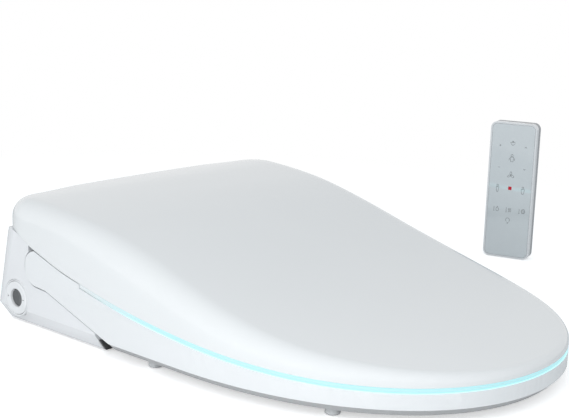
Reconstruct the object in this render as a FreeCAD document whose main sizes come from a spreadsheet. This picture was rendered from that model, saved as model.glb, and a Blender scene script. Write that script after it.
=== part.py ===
import FreeCAD, Part
import math
import os
from types import SimpleNamespace

from FreeCAD import Placement, Rotation, Vector

# A smart toilet seat: base unit, heated seat, lid and the upright remote that comes with it.
# Row frame in millimetres: origin midway between the two mounting bolts, on the bowl's rim plane.
# +X is to the right of someone who faces the nose, +Y runs back to the cistern, +Z is up.

SIZES = {
    # plan outline shared by lid and seat
    "half_width": 192.0,
    "front_reach": 470.0,
    "wide_reach": 215.0,
    "lid_rear_reach": 61.0,
    "lid_corner_radius": 50.0,
    "lid_rear_bow": 5.0,
    "overrun": 20.0,
    "running_gap": 0.3,
    "pin_gap": 0.05,
    "edge_match": 0.5,
    "rim_match": 1.0,
    # seam between lid and seat, which the light strip follows as far back as light_end_reach
    "seam_front_height": 32.0,
    "light_end_height": 63.0,
    "seam_rear_height": 100.0,
    "light_end_reach": 75.0,
    "light_height": 4.0,
    "light_depth": 6.0,
    "light_inset": 0.8,
    "light_drop": 2.5,
    "ledge_gap": 0.2,
    # lid
    "lid_front_height": 46.0,
    "lid_top_height": 130.5,
    "lid_wall": 3.0,
    "lid_edge_radius": 10.0,
    "lid_lift": 2.0,
    "lid_gap": 0.8,
    "liner_inset": 12.0,
    "liner_thickness": 2.2,
    "liner_gap": 0.3,
    "lid_bumper_radius": 7.0,
    "lid_bumper_reach": 425.0,
    "lid_bumper_offset": 55.0,
    "lid_bumper_gap": 0.5,
    # lid hinge
    "lid_axis_reach": 51.0,
    "lid_axis_height": 103.0,
    "lid_roll_radius": 10.0,
    "trough_gap": 0.7,
    "knuckle_offset": 100.0,
    "knuckle_width": 24.0,
    "knuckle_root_front": 9.0,
    "knuckle_root_rear": 1.5,
    "lid_swing_gap": 2.2,
    "spindle_radius": 3.0,
    "spindle_engagement": 14.0,
    "lid_damper_radius": 5.5,
    "lid_damper_length": 45.0,
    # seat
    "seat_edge_height": 15.0,
    "seat_pan_height": 8.0,
    "seat_chamfer": 7.0,
    "seat_wall": 3.0,
    "seat_front_height": 40.0,
    "seat_rear_height": 66.0,
    "seat_ledge": 14.0,
    "seat_crown_radius": 6.0,
    "seat_rear_gap": 10.0,
    "opening_front_reach": 388.0,
    "opening_rear_reach": 124.0,
    "opening_half_width": 106.0,
    "opening_wide_reach": 245.0,
    "bridge_half_width": 62.0,
    "bridge_height": 40.0,
    "bridge_margin": 4.0,
    "pan_thickness": 2.5,
    "pan_rim": 12.0,
    "heater_thickness": 0.5,
    "heater_inset": 16.0,
    "led_board_thickness": 1.2,
    "led_board_width": 7.0,
    "led_board_inset": 1.0,
    "bumper_radius": 7.0,
    "front_bumper_offset": 145.0,
    "front_bumper_reach": 352.0,
    "rear_bumper_offset": 173.0,
    "rear_bumper_reach": 163.0,
    # seat hinge arm
    "arm_axis_reach": 9.0,
    "arm_axis_height": 66.0,
    "arm_radius": 18.0,
    "arm_lead": 18.0,
    "arm_knee_reach": 24.0,
    "arm_knee_height": 46.8,
    "arm_relief_back": 13.5,
    "arm_relief_rise": 13.0,
    "arm_groove": 2.0,
    "arm_side_gap": 1.0,
    "hinge_pin_radius": 5.0,
    "hinge_pin_reach": 182.0,
    "hinge_pin_root": 7.0,
    "seat_damper_radius": 11.0,
    "seat_damper_length": 26.0,
    # base unit shell
    "base_half_width": 190.5,
    "base_lip": 12.0,
    "base_rear_reach": 67.0,
    "base_corner_radius": 20.0,
    "base_top_rear_reach": 52.0,
    "base_top_corner_radius": 30.0,
    "base_edge_height": 18.0,
    "base_form_height": 120.0,
    "base_chamfer": 12.5,
    "base_wall": 2.5,
    "foot_height": 1.5,
    "foot_radius": 9.0,
    "housing_half_width": 162.0,
    "cheek_gap": 0.4,
    "cover_front_reach": 88.0,
    "cover_foot_height": 45.5,
    "cover_top_height": 118.0,
    "cover_rear_reach": 38.5,
    "cover_shelf_height": 98.0,
    "tray_floor": 2.5,
    "tray_rim_height": 12.0,
    "tray_rear_reach": 51.0,
    "screw_radius": 1.7,
    "screw_head_radius": 3.2,
    "screw_head_height": 1.8,
    "screw_length": 16.0,
    "screw_boss_radius": 5.0,
    "screw_boss_height": 22.0,
    "screw_offset": 155.0,
    "screw_front_reach": 80.0,
    "screw_rear_reach": 42.0,
    # mounting plate
    "bolt_spacing": 140.0,
    "bolt_hole_radius": 4.5,
    "bolt_slot_length": 24.0,
    "plate_half_length": 100.0,
    "plate_half_depth": 26.0,
    "plate_thickness": 6.0,
    "plate_gap": 3.0,
    "plate_pocket_height": 18.5,
    "plate_slide_room": 19.0,
    "plate_tab_height": 9.0,
    "plate_tab_thickness": 3.0,
    "plate_tab_half_depth": 6.0,
    # release button and latch
    "release_reach": 20.0,
    "release_height": 27.0,
    "release_radius": 6.5,
    "release_depth": 7.0,
    "release_travel": 4.0,
    "release_stem_radius": 2.5,
    "latch_web": 3.0,
    "latch_half_depth": 4.0,
    "latch_low": 8.5,
    "latch_high": 12.5,
    "latch_notch_gap": 0.6,
    # wash nozzle
    "nozzle_height": 30.0,
    "nozzle_tilt": 12.0,
    "nozzle_recess": 2.0,
    "nozzle_radius": 8.0,
    "nozzle_length": 124.0,
    "nozzle_bore": 3.3,
    "tip_length": 26.0,
    "spray_hole_radius": 0.9,
    "spray_hole_pitch": 4.0,
    "shield_radius": 10.5,
    "shield_thickness": 1.5,
    "port_radius": 11.0,
    "cradle_wall": 3.0,
    "cradle_rise": 5.0,
    "cradle_length": 118.0,
    "feed_radius": 3.0,
    "feed_start": 28.5,
    "feed_block": 8.0,
    "rack_module": 1.0,
    "rack_width": 6.0,
    "rack_root": 8.0,
    "pinion_station": 24.0,
    "pinion_backlash": 0.25,
    "pinion_shaft_radius": 1.5,
    "motor_radius": 11.0,
    "motor_length": 18.0,
    "motor_bearing_depth": 4.0,
    "bracket_rise": 26.0,
    "bracket_length": 26.0,
    "leg_inset": 6.0,
    "leg_depth": 8.0,
    "leg_rear_reach": 24.0,
    "leg_rear_height": 43.0,
    "feed_block_y": 41.2,
    "feed_block_z": 57.5,
    "air_hose_y": 30.5,
    # warm-air dryer
    "dryer_offset": 38.0,
    "dryer_half_width": 18.0,
    "dryer_low": 23.0,
    "dryer_high": 40.5,
    "duct_wall": 1.5,
    "flap_thickness": 2.0,
    "flap_pin_radius": 1.2,
    "blower_radius": 32.0,
    "blower_center_reach": 14.0,
    "blower_offset": 50.0,
    "blower_low": 24.0,
    "blower_high": 50.0,
    "blower_wheel_radius": 26.0,
    "blower_blades": 20.0,
    "blade_thickness": 1.2,
    "blade_depth": 7.0,
    "blower_shaft_radius": 2.0,
    "blower_motor_radius": 15.0,
    "blower_motor_height": 20.0,
    "heater_fins": 5.0,
    "fin_thickness": 1.0,
    "fin_inset": 14.0,
    "fin_depth": 20.0,
    # deodorizer
    "grille_offset": 38.0,
    "grille_half_width": 18.0,
    "grille_low": 23.5,
    "grille_high": 33.5,
    "grille_bars": 6.0,
    "fan_inner_offset": 106.0,
    "fan_outer_offset": 150.0,
    "fan_front_reach": 82.0,
    "fan_rear_reach": 40.0,
    "fan_low": 10.0,
    "fan_high": 44.0,
    "fan_wheel_radius": 17.0,
    "fan_wheel_height": 18.0,
    "fan_motor_radius": 9.0,
    "fan_motor_height": 13.0,
    "filter_inner_offset": 132.0,
    "filter_front": 0.0,
    "filter_rear": 33.0,
    "filter_low": 20.0,
    "filter_high": 42.5,
    "filter_gap": 0.6,
    "sleeve_wall": 1.5,
    "grip_offset": 5.0,
    # water path
    "inlet_offset": 123.0,
    "inlet_height": 30.0,
    "inlet_radius": 10.4775,
    "inlet_length": 13.0,
    "inlet_cup_half": 17.0,
    "inlet_cup_depth": 19.5,
    "inlet_cup_wall": 2.0,
    "inlet_bore": 6.0,
    "valve_offset": 119.5,
    "valve_half_width": 9.0,
    "valve_depth": 30.0,
    "valve_height": 30.0,
    "tank_low_offset": 42.0,
    "tank_high_offset": 99.0,
    "tank_front": 18.0,
    "tank_rear": 34.0,
    "tank_height": 42.0,
    "pump_radius": 13.0,
    "pump_length": 44.0,
    "pump_offset": 104.0,
    "pump_rear": 32.0,
    "distributor_low_offset": 17.5,
    "distributor_width": 17.0,
    "distributor_half_depth": 14.0,
    "distributor_height": 30.0,
    "hose_radius": 3.5,
    # electronics
    "board_height": 76.0,
    "board_thickness": 1.6,
    "board_low_offset": 15.0,
    "board_high_offset": 108.0,
    "board_front": 30.0,
    "board_rear": 43.0,
    "board_post_radius": 3.0,
    "board_post_inset": 5.0,
    "board_post_low_inset": 23.3,
    "transformer_length": 30.0,
    "transformer_depth": 26.0,
    "transformer_height": 20.0,
    "relay_length": 14.0,
    "relay_depth": 10.0,
    "relay_height": 9.0,
    "gland_offset": 90.0,
    "gland_radius": 6.5,
    "gland_flange_radius": 9.0,
    "gland_bore": 3.6,
    "gland_reach": 9.5,
    "gland_length": 5.5,
    # control knob on the user's right
    "knob_reach": 25.0,
    "knob_height": 29.0,
    "bezel_radius": 19.0,
    "bezel_wall": 1.6,
    "bezel_face": 191.0,
    "bezel_depth": 14.0,
    "knob_face": 192.0,
    "knob_depth": 9.6,
    "knob_web": 2.0,
    "knob_hub_radius": 4.5,
    "dial_radius": 9.0,
    "dial_face": 191.2,
    "dial_depth": 5.0,
    "dial_rim": 0.9,
    "plunger_radius": 2.0,
    "encoder_half": 8.0,
    "encoder_depth": 11.0,
    # remote
    "remote_x": 440.0,
    "remote_y": 172.0,
    "remote_turn": 75.0,
    "remote_width": 60.0,
    "remote_height": 176.0,
    "remote_depth": 18.0,
    "remote_corner": 8.0,
    "remote_split": 1.0,
    "remote_wall": 2.0,
    "glass_inset": 2.4,
    "glass_thickness": 1.6,
    "glass_corner": 6.0,
    "remote_gap": 0.2,
    "key_board_thickness": 1.2,
    "key_board_inset": 5.0,
    "ir_width": 9.0,
    "ir_height": 7.0,
    "ir_thickness": 2.5,
    "battery_radius": 5.25,
    "battery_length": 44.5,
    "battery_foot": 22.0,
    "battery_spread": 7.0,
    "battery_cover_width": 34.0,
    "battery_cover_length": 62.0,
    "battery_cover_foot": 14.0,
    "battery_cover_travel": 12.0,
    "contact_thickness": 0.6,
}

# How far along its run, and how far up its rise, each shaped line passes
REAR_SEAM_SHARES = ((0, 1), (0.106, 0.986), (0.297, 0.865), (0.412, 0.649), (0.551, 0.459), (0.779, 0.189), (1, 0))
FRONT_SEAM_SHARES = ((0, 1), (0.116, 0.70), (0.25, 0.45), (0.42, 0.25), (0.60, 0.09), (0.78, 0.01), (1, 0))
LID_TOP_SHARES = ((0, 0.985), (0.07, 1), (0.15, 0.965), (0.265, 0.876), (0.40, 0.63), (0.51, 0.375),
                  (0.64, 0.17), (0.755, 0.075), (0.87, 0.05), (1, 0))
SEAT_TOP_SHARES = ((0, 1), (0.122, 0.92), (0.322, 0.67), (0.495, 0.385), (0.654, 0.155), (0.814, 0.096), (1, 0))
COVER_SHARES = ((0, 0), (0.015, 0.283), (0.11, 0.628), (0.325, 0.848), (0.64, 0.959), (1, 1))
NOSE_FULLNESS_SHARE = 0.598
OPENING_FULLNESS_SHARE = 0.612
LEVEL_EDGE_SHARE = 0.8

doc = FreeCAD.newDocument("smart_toilet_seat")
sheet = doc.addObject("Spreadsheet::Sheet", "Sizes")
for row, (alias, value) in enumerate(SIZES.items(), start=1):
    sheet.set(f"A{row}", alias)
    sheet.set(f"B{row}", str(value))
    sheet.setAlias(f"B{row}", alias)
doc.recompute()


class Size:
    """A sheet size, or a sum of sizes: its value now, and the expression that keeps an object bound to it."""

    def __init__(self, value, text):
        self.value = value
        self.text = text

    def __float__(self):
        return float(self.value)

    def joined(self, other, sign, value):
        other_text = other.text if isinstance(other, Size) else str(other)
        return Size(value, f"({self.text} {sign} {other_text})")

    def __add__(self, other):
        return self.joined(other, "+", self.value + float(other))

    def __radd__(self, other):
        return self.joined(other, "+", self.value + float(other))

    def __sub__(self, other):
        return self.joined(other, "-", self.value - float(other))

    def __rsub__(self, other):
        return (-self).joined(other, "+", float(other) - self.value)

    def __mul__(self, other):
        return self.joined(other, "*", self.value * float(other))

    def __rmul__(self, other):
        return self.joined(other, "*", self.value * float(other))

    def __truediv__(self, other):
        return self.joined(other, "/", self.value / float(other))

    def __neg__(self):
        return Size(-self.value, f"(-{self.text})")


s = SimpleNamespace(**{alias: Size(float(getattr(sheet, alias)), f"Sizes.{alias}") for alias in SIZES})
ZERO = Size(0.0, "0")
# The unit's foot and the seat's rear stand off the cover's front edge, and the arms start ahead of the foot
base_front_reach = s.cover_front_reach + s.base_lip
seat_rear_edge = s.cover_front_reach + s.seat_rear_gap
arm_start_reach = base_front_reach + s.arm_lead
nodes = []


def node(thing):
    """Marks a finished piece, which gets a file of its own."""
    nodes.append(thing)
    return thing


def bind(thing, prop, size):
    if isinstance(size, Size):
        thing.setExpression(prop, size.text)
    else:
        thing.setExpression(prop, str(size))


def place(thing, x, y, z):
    bind(thing, "Placement.Base.x", x)
    bind(thing, "Placement.Base.y", y)
    bind(thing, "Placement.Base.z", z)


def box(name, low, high):
    thing = doc.addObject("Part::Box", name)
    for prop, a, b in zip(("Length", "Width", "Height"), low, high):
        bind(thing, prop, b - a)
    place(thing, *low)
    return thing


TURNS = {
    "x": Rotation(Vector(0, 1, 0), 90),
    "-x": Rotation(Vector(0, 1, 0), -90),
    "y": Rotation(Vector(1, 0, 0), -90),
    "-y": Rotation(Vector(1, 0, 0), 90),
    "z": Rotation(),
}


def cylinder(name, radius, start, length, along="z"):
    thing = doc.addObject("Part::Cylinder", name)
    thing.Placement = Placement(Vector(), TURNS[along])
    bind(thing, "Radius", radius)
    bind(thing, "Height", length)
    place(thing, *start)
    return thing


def fuse(name, *parts):
    thing = doc.addObject("Part::MultiFuse", name)
    thing.Shapes = list(parts)
    return thing


def common(name, *parts):
    thing = doc.addObject("Part::MultiCommon", name)
    thing.Shapes = list(parts)
    return thing


def cut(name, base, *tools):
    thing = doc.addObject("Part::Cut", name)
    thing.Base = base
    thing.Tool = tools[0] if len(tools) == 1 else fuse(name + "_tools", *tools)
    return thing


# Sketches and the features that stand on them


def point(u, v):
    return Vector(float(u), float(v), 0)


def lines(*corners):
    ends = corners[1:] + corners[:1]
    return [Part.LineSegment(a, b) for a, b in zip(corners, ends)]


def open_lines(*corners):
    return [Part.LineSegment(a, b) for a, b in zip(corners[:-1], corners[1:])]


def smooth(points, start, end):
    curve = Part.BSplineCurve()
    curve.interpolate(Points=points, InitialTangent=start, FinalTangent=end)
    return curve


def new_body(name):
    return doc.addObject("PartDesign::Body", name)


def sketch(body, plane, curves, height=None):
    drawing = body.newObject("Sketcher::SketchObject", f"{body.Name}_{plane.lower()}_{len(body.Group)}")
    support = [f for f in body.Origin.OriginFeatures if f.Role == plane + "_Plane"][0]
    drawing.AttachmentSupport = (support, [""])
    drawing.MapMode = "FlatFace"
    if height is not None:
        bind(drawing, "AttachmentOffset.Base.z", height)
    drawing.addGeometry(curves, False)
    return drawing


def pad(body, plane, curves, length, height=None, middle=False):
    feature = body.newObject("PartDesign::Pad", f"{body.Name}_pad_{len(body.Group)}")
    feature.Profile = sketch(body, plane, curves, height)
    if middle:
        feature.SideType = "Symmetric"
    bind(feature, "Length", length)
    return feature


def pocket(body, plane, curves):
    feature = body.newObject("PartDesign::Pocket", f"{body.Name}_pocket_{len(body.Group)}")
    feature.Profile = sketch(body, plane, curves)
    feature.Type = "ThroughAll"
    feature.SideType = "Symmetric"
    return feature


def loft(body, low_curves, low_height, high_curves, high_height):
    feature = body.newObject("PartDesign::AdditiveLoft", f"{body.Name}_loft_{len(body.Group)}")
    feature.Profile = sketch(body, "XY", low_curves, low_height)
    feature.Sections = [sketch(body, "XY", high_curves, high_height)]
    feature.Ruled = True
    return feature


def round_edges(body, radius, wanted):
    """Rounds the body's edges whose middle point passes the test wanted(point)."""
    doc.recompute()
    tip = body.Tip
    names = []
    for i, edge in enumerate(tip.Shape.Edges, start=1):
        middle = edge.valueAt((edge.FirstParameter + edge.LastParameter) / 2)
        if wanted(middle, edge):
            names.append(f"Edge{i}")
    feature = body.newObject("PartDesign::Fillet", f"{body.Name}_fillet_{len(body.Group)}")
    feature.Base = (tip, names)
    bind(feature, "Radius", radius)
    return feature


# Plan outline of lid and seat: a superellipse nose, straight sides, round rear corners, a bowed rear edge


def oval_quarter(middle_y, start_x, end_y, fullness):
    """A quarter oval from (start_x, middle_y) round to (0, end_y), as one cubic curve."""
    poles = [
        point(start_x, middle_y),
        point(start_x, middle_y + (end_y - middle_y) * fullness),
        point(start_x * fullness, end_y),
        point(0, end_y),
    ]
    curve = Part.BSplineCurve()
    curve.buildFromPolesMultsKnots(poles, [4, 4], [0, 1], False, 3)
    return curve


def outline(inset=0.0, rear=None):
    inset = float(inset)
    a = float(s.half_width) - inset
    nose_y = -float(s.front_reach) + inset
    wide = -float(s.wide_reach)
    curves = [oval_quarter(wide, side * a, nose_y, NOSE_FULLNESS_SHARE) for side in (1, -1)]
    if rear is not None:
        return curves + open_lines(point(a, wide), point(a, rear), point(-a, rear), point(-a, wide))
    corner = float(s.lid_corner_radius)
    bow = float(s.lid_rear_bow)
    half_chord = float(s.half_width) - corner
    bow_radius = (half_chord**2 + bow**2) / (2 * bow)
    bow_middle = float(s.lid_rear_reach) - bow_radius
    corner_y = bow_middle + math.sqrt((bow_radius - corner) ** 2 - half_chord**2)
    lean = math.atan2(half_chord, corner_y - bow_middle)
    r = corner - inset
    rear_y = float(s.lid_rear_reach) - inset
    tip = point(half_chord + r * math.sin(lean), corner_y + r * math.cos(lean))
    half_lean = math.pi / 4 + lean / 2
    mid = point(half_chord + r * math.sin(half_lean), corner_y + r * math.cos(half_lean))
    right = point(a, corner_y)

    def across(p):
        return point(-p.x, p.y)

    return curves + [
        Part.LineSegment(point(a, wide), right),
        Part.ArcOfCircle(right, mid, tip),
        Part.ArcOfCircle(tip, point(0, rear_y), across(tip)),
        Part.ArcOfCircle(across(tip), across(mid), across(right)),
        Part.LineSegment(across(right), point(-a, wide)),
    ]


def frame_rectangle():
    """A rectangle well outside the plan outline, so that a pocket between the two trims a body to it."""
    side = float(s.half_width + s.overrun * 2)
    front = -float(s.front_reach + s.overrun * 2)
    rear = float(s.lid_rear_reach + s.overrun * 3)
    return lines(point(-side, front), point(side, front), point(side, rear), point(-side, rear))


def opening(outset=0.0):
    """The egg-shaped opening in the seat."""
    outset = float(outset)
    half_width = float(s.opening_half_width) + outset
    middle = -float(s.opening_wide_reach)
    ends = (-float(s.opening_front_reach) - outset, -float(s.opening_rear_reach) + outset)
    return [oval_quarter(middle, side * half_width, end, OPENING_FULLNESS_SHARE) for end in ends for side in (1, -1)]


# Side profiles, drawn looking along -X with Y to the right: u is Y, v is Z


def shaped(shares, start_y, end_y, low_z, high_z, lift=0.0):
    lift = float(lift)
    return [point(start_y + (end_y - start_y) * a, low_z + (high_z - low_z) * b + lift) for a, b in shares]


def rear_seam(lift=0.0):
    """The seam from the lid's rear edge forward to the end of the light strip, as points."""
    return shaped(REAR_SEAM_SHARES, float(s.lid_rear_reach), -float(s.light_end_reach),
                  float(s.light_end_height), float(s.seam_rear_height), lift)


def front_seam(lift=0.0):
    return shaped(FRONT_SEAM_SHARES, -float(s.light_end_reach), -float(s.front_reach),
                  float(s.seam_front_height), float(s.light_end_height), lift)


def seam_slope():
    """Direction of the seam where its rear and front stretches meet, pointing forward."""
    ahead = front_seam()[1] - rear_seam()[-2]
    return ahead.normalize()


def seam_curves(rear_lift, front_lift):
    """The seam from rear to nose, each stretch at its own lift, joined by a step, with level ends past the plan."""
    rear_points = rear_seam(rear_lift)
    front_points = front_seam(front_lift)
    back = rear_points[0] + Vector(float(s.overrun), 0, 0)
    ahead = front_points[-1] - Vector(float(s.overrun), 0, 0)
    curves = [Part.LineSegment(back, rear_points[0]), smooth(rear_points, Vector(-1, 0, 0), seam_slope())]
    if float(rear_lift) != float(front_lift):
        curves.append(Part.LineSegment(rear_points[-1], front_points[0]))
    curves += [smooth(front_points, seam_slope(), Vector(-1, 0, 0)), Part.LineSegment(front_points[-1], ahead)]
    return curves, back, ahead


def lid_top(drop=0.0):
    points = shaped(LID_TOP_SHARES, float(s.lid_rear_reach), -float(s.front_reach),
                    float(s.lid_front_height), float(s.lid_top_height), -float(drop))
    back = points[0] + Vector(float(s.overrun), 0, 0)
    ahead = points[-1] - Vector(float(s.overrun), 0, 0)
    first = Vector(-1, 0, 0)
    last = (points[-1] - points[-2]).normalize()
    curves = [Part.LineSegment(back, points[0]), smooth(points, first, last), Part.LineSegment(points[-1], ahead)]
    return curves, back, ahead


def seat_top(drop=0.0):
    points = shaped(SEAT_TOP_SHARES, -float(seat_rear_edge), -float(s.front_reach),
                    float(s.seat_front_height), float(s.seat_rear_height), -float(drop))
    back = points[0] + Vector(float(s.overrun), 0, 0)
    ahead = points[-1] - Vector(float(s.overrun), 0, 0)
    last = (points[-1] - points[-2]).normalize()
    curves = [Part.LineSegment(back, points[0]), smooth(points, Vector(-1, 0, 0), last),
              Part.LineSegment(points[-1], ahead)]
    return curves, back, ahead


def height_on(curve_points, y):
    """Height of a shaped line at a place along it, by straight runs between its points."""
    for a, b in zip(curve_points[:-1], curve_points[1:]):
        if b.x <= y <= a.x:
            return a.y + (b.y - a.y) * (a.x - y) / (a.x - b.x)
    return curve_points[-1].y


def arm_envelope(grow):
    """The seat and its hinge arm: level underside, a straight rise to a knee, and the round arm end."""
    grow = float(grow)
    axis = point(-s.arm_axis_reach, s.arm_axis_height)
    radius = float(s.arm_radius) + grow
    start = point(-arm_start_reach, float(s.seat_edge_height) - grow)
    knee = point(-s.arm_knee_reach, float(s.arm_knee_height) - grow)
    reach = axis - knee
    climb = math.atan2(reach.y, reach.x) - math.asin(radius / reach.Length)
    touch = axis + Vector(radius * math.sin(climb), -radius * math.cos(climb), 0)
    end = axis + Vector(radius, 0, 0)
    top = axis + Vector(0, radius, 0)
    half = (climb + math.pi / 2) / 2
    mid = axis + Vector(radius * math.sin(half), -radius * math.cos(half), 0)
    high = axis + Vector(radius * math.sqrt(0.5), radius * math.sqrt(0.5), 0)
    nose = -float(s.front_reach + s.overrun)
    return open_lines(point(nose, start.y), start, knee, touch) + [
        Part.ArcOfCircle(touch, mid, end),
        Part.ArcOfCircle(end, high, top),
    ] + open_lines(top, point(nose, top.y), point(nose, start.y))


def above(seam, back, ahead):
    """Closes a seam or top line with a region above it."""
    ceiling = float(s.lid_top_height + s.overrun * 3)
    return seam + open_lines(ahead, point(ahead.x, ceiling), point(back.x, ceiling), back)


def below(seam, back, ahead, floor):
    return seam + open_lines(ahead, point(ahead.x, floor), point(back.x, floor), back)


FULL_WIDTH = s.half_width * 2 + s.overrun * 2


# Lid shell: one gloss moulding, its rear edge rolled round the hinge axis


def lid_form(name, inset, low_lift, radius):
    body = new_body(name)
    top, back, ahead = lid_top(inset)
    floor = -float(s.overrun) if low_lift is None else float(s.seam_front_height) - float(s.overrun)
    pad(body, "YZ", below(top, back, ahead, floor), FULL_WIDTH, middle=True)
    pocket(body, "XY", frame_rectangle() + outline(inset))
    if low_lift is not None:
        seam, seam_back, seam_ahead = seam_curves(low_lift, low_lift)
        pocket(body, "YZ", below(seam, seam_back, seam_ahead, -float(s.overrun)))
    heights = lid_top(inset)[0][1]

    def on_top_rim(middle, edge):
        if middle.z < float(s.seam_front_height + s.light_height):
            return False
        extent = edge.BoundBox
        level = extent.ZMax - extent.ZMin < extent.DiagonalLength * LEVEL_EDGE_SHARE
        height = heights.value(heights.parameter(point(middle.y, middle.z))).y
        return level and abs(height - middle.z) < float(s.edge_match)

    round_edges(body, radius, on_top_rim)
    return body


lid_outer = lid_form("lid_outer_form", 0.0, s.lid_lift, s.lid_edge_radius)
lid_inner = lid_form("lid_inner_form", s.lid_wall, None, s.lid_edge_radius - s.lid_wall)

lid_axis = (s.lid_axis_reach, s.lid_axis_height)
trough_radius = s.lid_roll_radius + s.trough_gap


def along_lid_axis(name, radius, x_low, length):
    return cylinder(name, radius, (x_low, lid_axis[0], lid_axis[1]), length, "x")


def outline_prism(name, inset, low, high):
    body = new_body(name)
    pad(body, "XY", outline(inset), high - low, low)
    return body


roll = along_lid_axis("lid_roll_bar", s.lid_roll_radius, -s.half_width, s.half_width * 2)
roll_trim = outline_prism("lid_roll_trim", 0.0, s.overrun, s.lid_top_height)
knuckle_end = s.knuckle_offset + s.knuckle_width
gap_low = s.knuckle_offset - s.running_gap
gap_length = s.knuckle_width + s.running_gap * 2
spindle_low = s.knuckle_offset - s.spindle_engagement
spindle_length = s.knuckle_width + s.spindle_engagement * 2
damper_low = spindle_low - s.lid_damper_length
lid_bores = []
for side, name in ((1, "right"), (-1, "left")):
    gap_start = gap_low if side > 0 else -(gap_low + gap_length)
    spindle_start = spindle_low if side > 0 else -(spindle_low + spindle_length)
    damper_start = damper_low if side > 0 else -spindle_low
    lid_bores += [
        along_lid_axis(f"lid_gap_{name}", trough_radius, gap_start, gap_length),
        along_lid_axis(f"lid_bore_{name}", s.spindle_radius + s.pin_gap, spindle_start, spindle_length),
        along_lid_axis(f"lid_damper_bore_{name}", s.lid_damper_radius + s.pin_gap, damper_start,
                       s.lid_damper_length),
    ]
lid_skin = cut("lid_skin", lid_outer, lid_inner)
lid_with_roll = fuse("lid_with_roll", lid_skin, common("lid_roll", roll, roll_trim))
lid_shell = node(cut("lid_shell", lid_with_roll, *lid_bores))

# Inner liner of the lid, a thin second moulding clipped up inside the shell
liner = node(new_body("lid_liner"))
liner_top = s.lid_wall + s.liner_gap
low_line, low_back, low_ahead = lid_top(liner_top + s.liner_thickness)
high_line, high_back, high_ahead = lid_top(liner_top)
pad(liner, "YZ", high_line + [Part.LineSegment(high_ahead, low_ahead)] + low_line
    + [Part.LineSegment(low_back, high_back)], FULL_WIDTH, middle=True)
pocket(liner, "XY", frame_rectangle() + outline(s.liner_inset))

# Slow-close damper barrels inside the roll, and the spindles that pass through the base's knuckles
spindles = []
dampers = []
for side, name in ((1, "right"), (-1, "left")):
    spindle_start = spindle_low if side > 0 else -(spindle_low + spindle_length)
    damper_start = damper_low + s.pin_gap if side > 0 else -(spindle_low - s.pin_gap)
    spindles.append(along_lid_axis(f"spindle_{name}", s.spindle_radius, spindle_start + s.pin_gap,
                                   spindle_length - s.pin_gap * 2))
    dampers.append(along_lid_axis(f"lid_damper_{name}", s.lid_damper_radius, damper_start,
                                  s.lid_damper_length - s.pin_gap * 2))
node(fuse("lid_hinge_spindles", *spindles))
node(fuse("lid_dampers", *dampers))

# Soft bumpers under the liner, on which the closed lid rests on the seat
liner_under = shaped(LID_TOP_SHARES, float(s.lid_rear_reach), -float(s.front_reach), float(s.lid_front_height),
                     float(s.lid_top_height), -float(liner_top + s.liner_thickness + s.lid_bumper_gap))
seat_over = shaped(SEAT_TOP_SHARES, -float(seat_rear_edge), -float(s.front_reach), float(s.seat_front_height),
                   float(s.seat_rear_height), float(s.running_gap + s.lid_bumper_gap))
bumper_top = height_on(liner_under, -float(s.lid_bumper_reach))
bumper_foot = height_on(seat_over, -float(s.lid_bumper_reach))
bumpers = []
for side, name in ((1, "right"), (-1, "left")):
    bumpers.append(cylinder(f"lid_bumper_{name}", s.lid_bumper_radius,
                            (side * s.lid_bumper_offset, -s.lid_bumper_reach, bumper_foot),
                            bumper_top - bumper_foot))
node(fuse("lid_bumpers", *bumpers))

# Seat ring: an outer skirt with the hinge arms, and the raised sitting surface inside the light strip's ledge


def seat_skirt_form(name, inset, drop, rear):
    body = new_body(name)
    pad(body, "YZ", arm_envelope(0.0), FULL_WIDTH, middle=True)
    arm_lift = s.lid_lift - s.lid_gap
    ledge_lift = -(s.light_drop + s.ledge_gap + drop)
    pocket(body, "YZ", above(*seam_curves(arm_lift, ledge_lift)))
    side = float(s.housing_half_width + s.arm_side_gap)
    between_arms = -float(rear)
    trims = lines(point(-side, between_arms), point(side, between_arms), point(side, float(s.overrun * 4)),
                  point(-side, float(s.overrun * 4)))
    pocket(body, "XY", frame_rectangle() + outline(inset))
    pocket(body, "XY", trims)
    pocket(body, "XY", opening(inset))
    return body


def seat_crown_form(name, inset, drop, rear, radius):
    body = new_body(name)
    top, back, ahead = seat_top(drop)
    pad(body, "YZ", below(top, back, ahead, float(s.seat_edge_height)), FULL_WIDTH, middle=True)
    pocket(body, "XY", frame_rectangle() + outline(s.seat_ledge + inset, -float(rear)))
    pocket(body, "XY", opening(inset))
    line = seat_top(drop)[0][1]

    def on_rim(middle, edge):
        behind = middle.y > -float(rear + s.rim_match)
        if behind or middle.z < float(s.seat_front_height - drop - s.rim_match):
            return False
        height = line.value(line.parameter(point(middle.y, middle.z))).y
        return abs(height - middle.z) < float(s.edge_match)

    round_edges(body, radius, on_rim)
    return body


seat_rear = seat_rear_edge
skirt_outer = seat_skirt_form("seat_skirt_outer", 0.0, ZERO, seat_rear)
crown_outer = seat_crown_form("seat_crown_outer", ZERO, ZERO, seat_rear, s.seat_crown_radius)
skirt_inner = seat_skirt_form("seat_skirt_inner", s.seat_wall, s.seat_wall, seat_rear + s.seat_wall)
crown_inner = seat_crown_form("seat_crown_inner", s.seat_wall, s.seat_wall, seat_rear + s.seat_wall,
                              s.seat_crown_radius - s.seat_wall)
hollow_limit = box("seat_hollow_limit", (-s.half_width, -s.front_reach, ZERO),
                   (s.half_width, -(arm_start_reach + s.bridge_margin), s.seat_rear_height))
bridge_low = (-(s.bridge_half_width + s.bridge_margin), -(s.opening_rear_reach + s.seat_wall * 5), ZERO)
bridge_high = (s.bridge_half_width + s.bridge_margin, ZERO, s.seat_rear_height + s.overrun)
bridge_block = box("seat_bridge_block", bridge_low, bridge_high)
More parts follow.
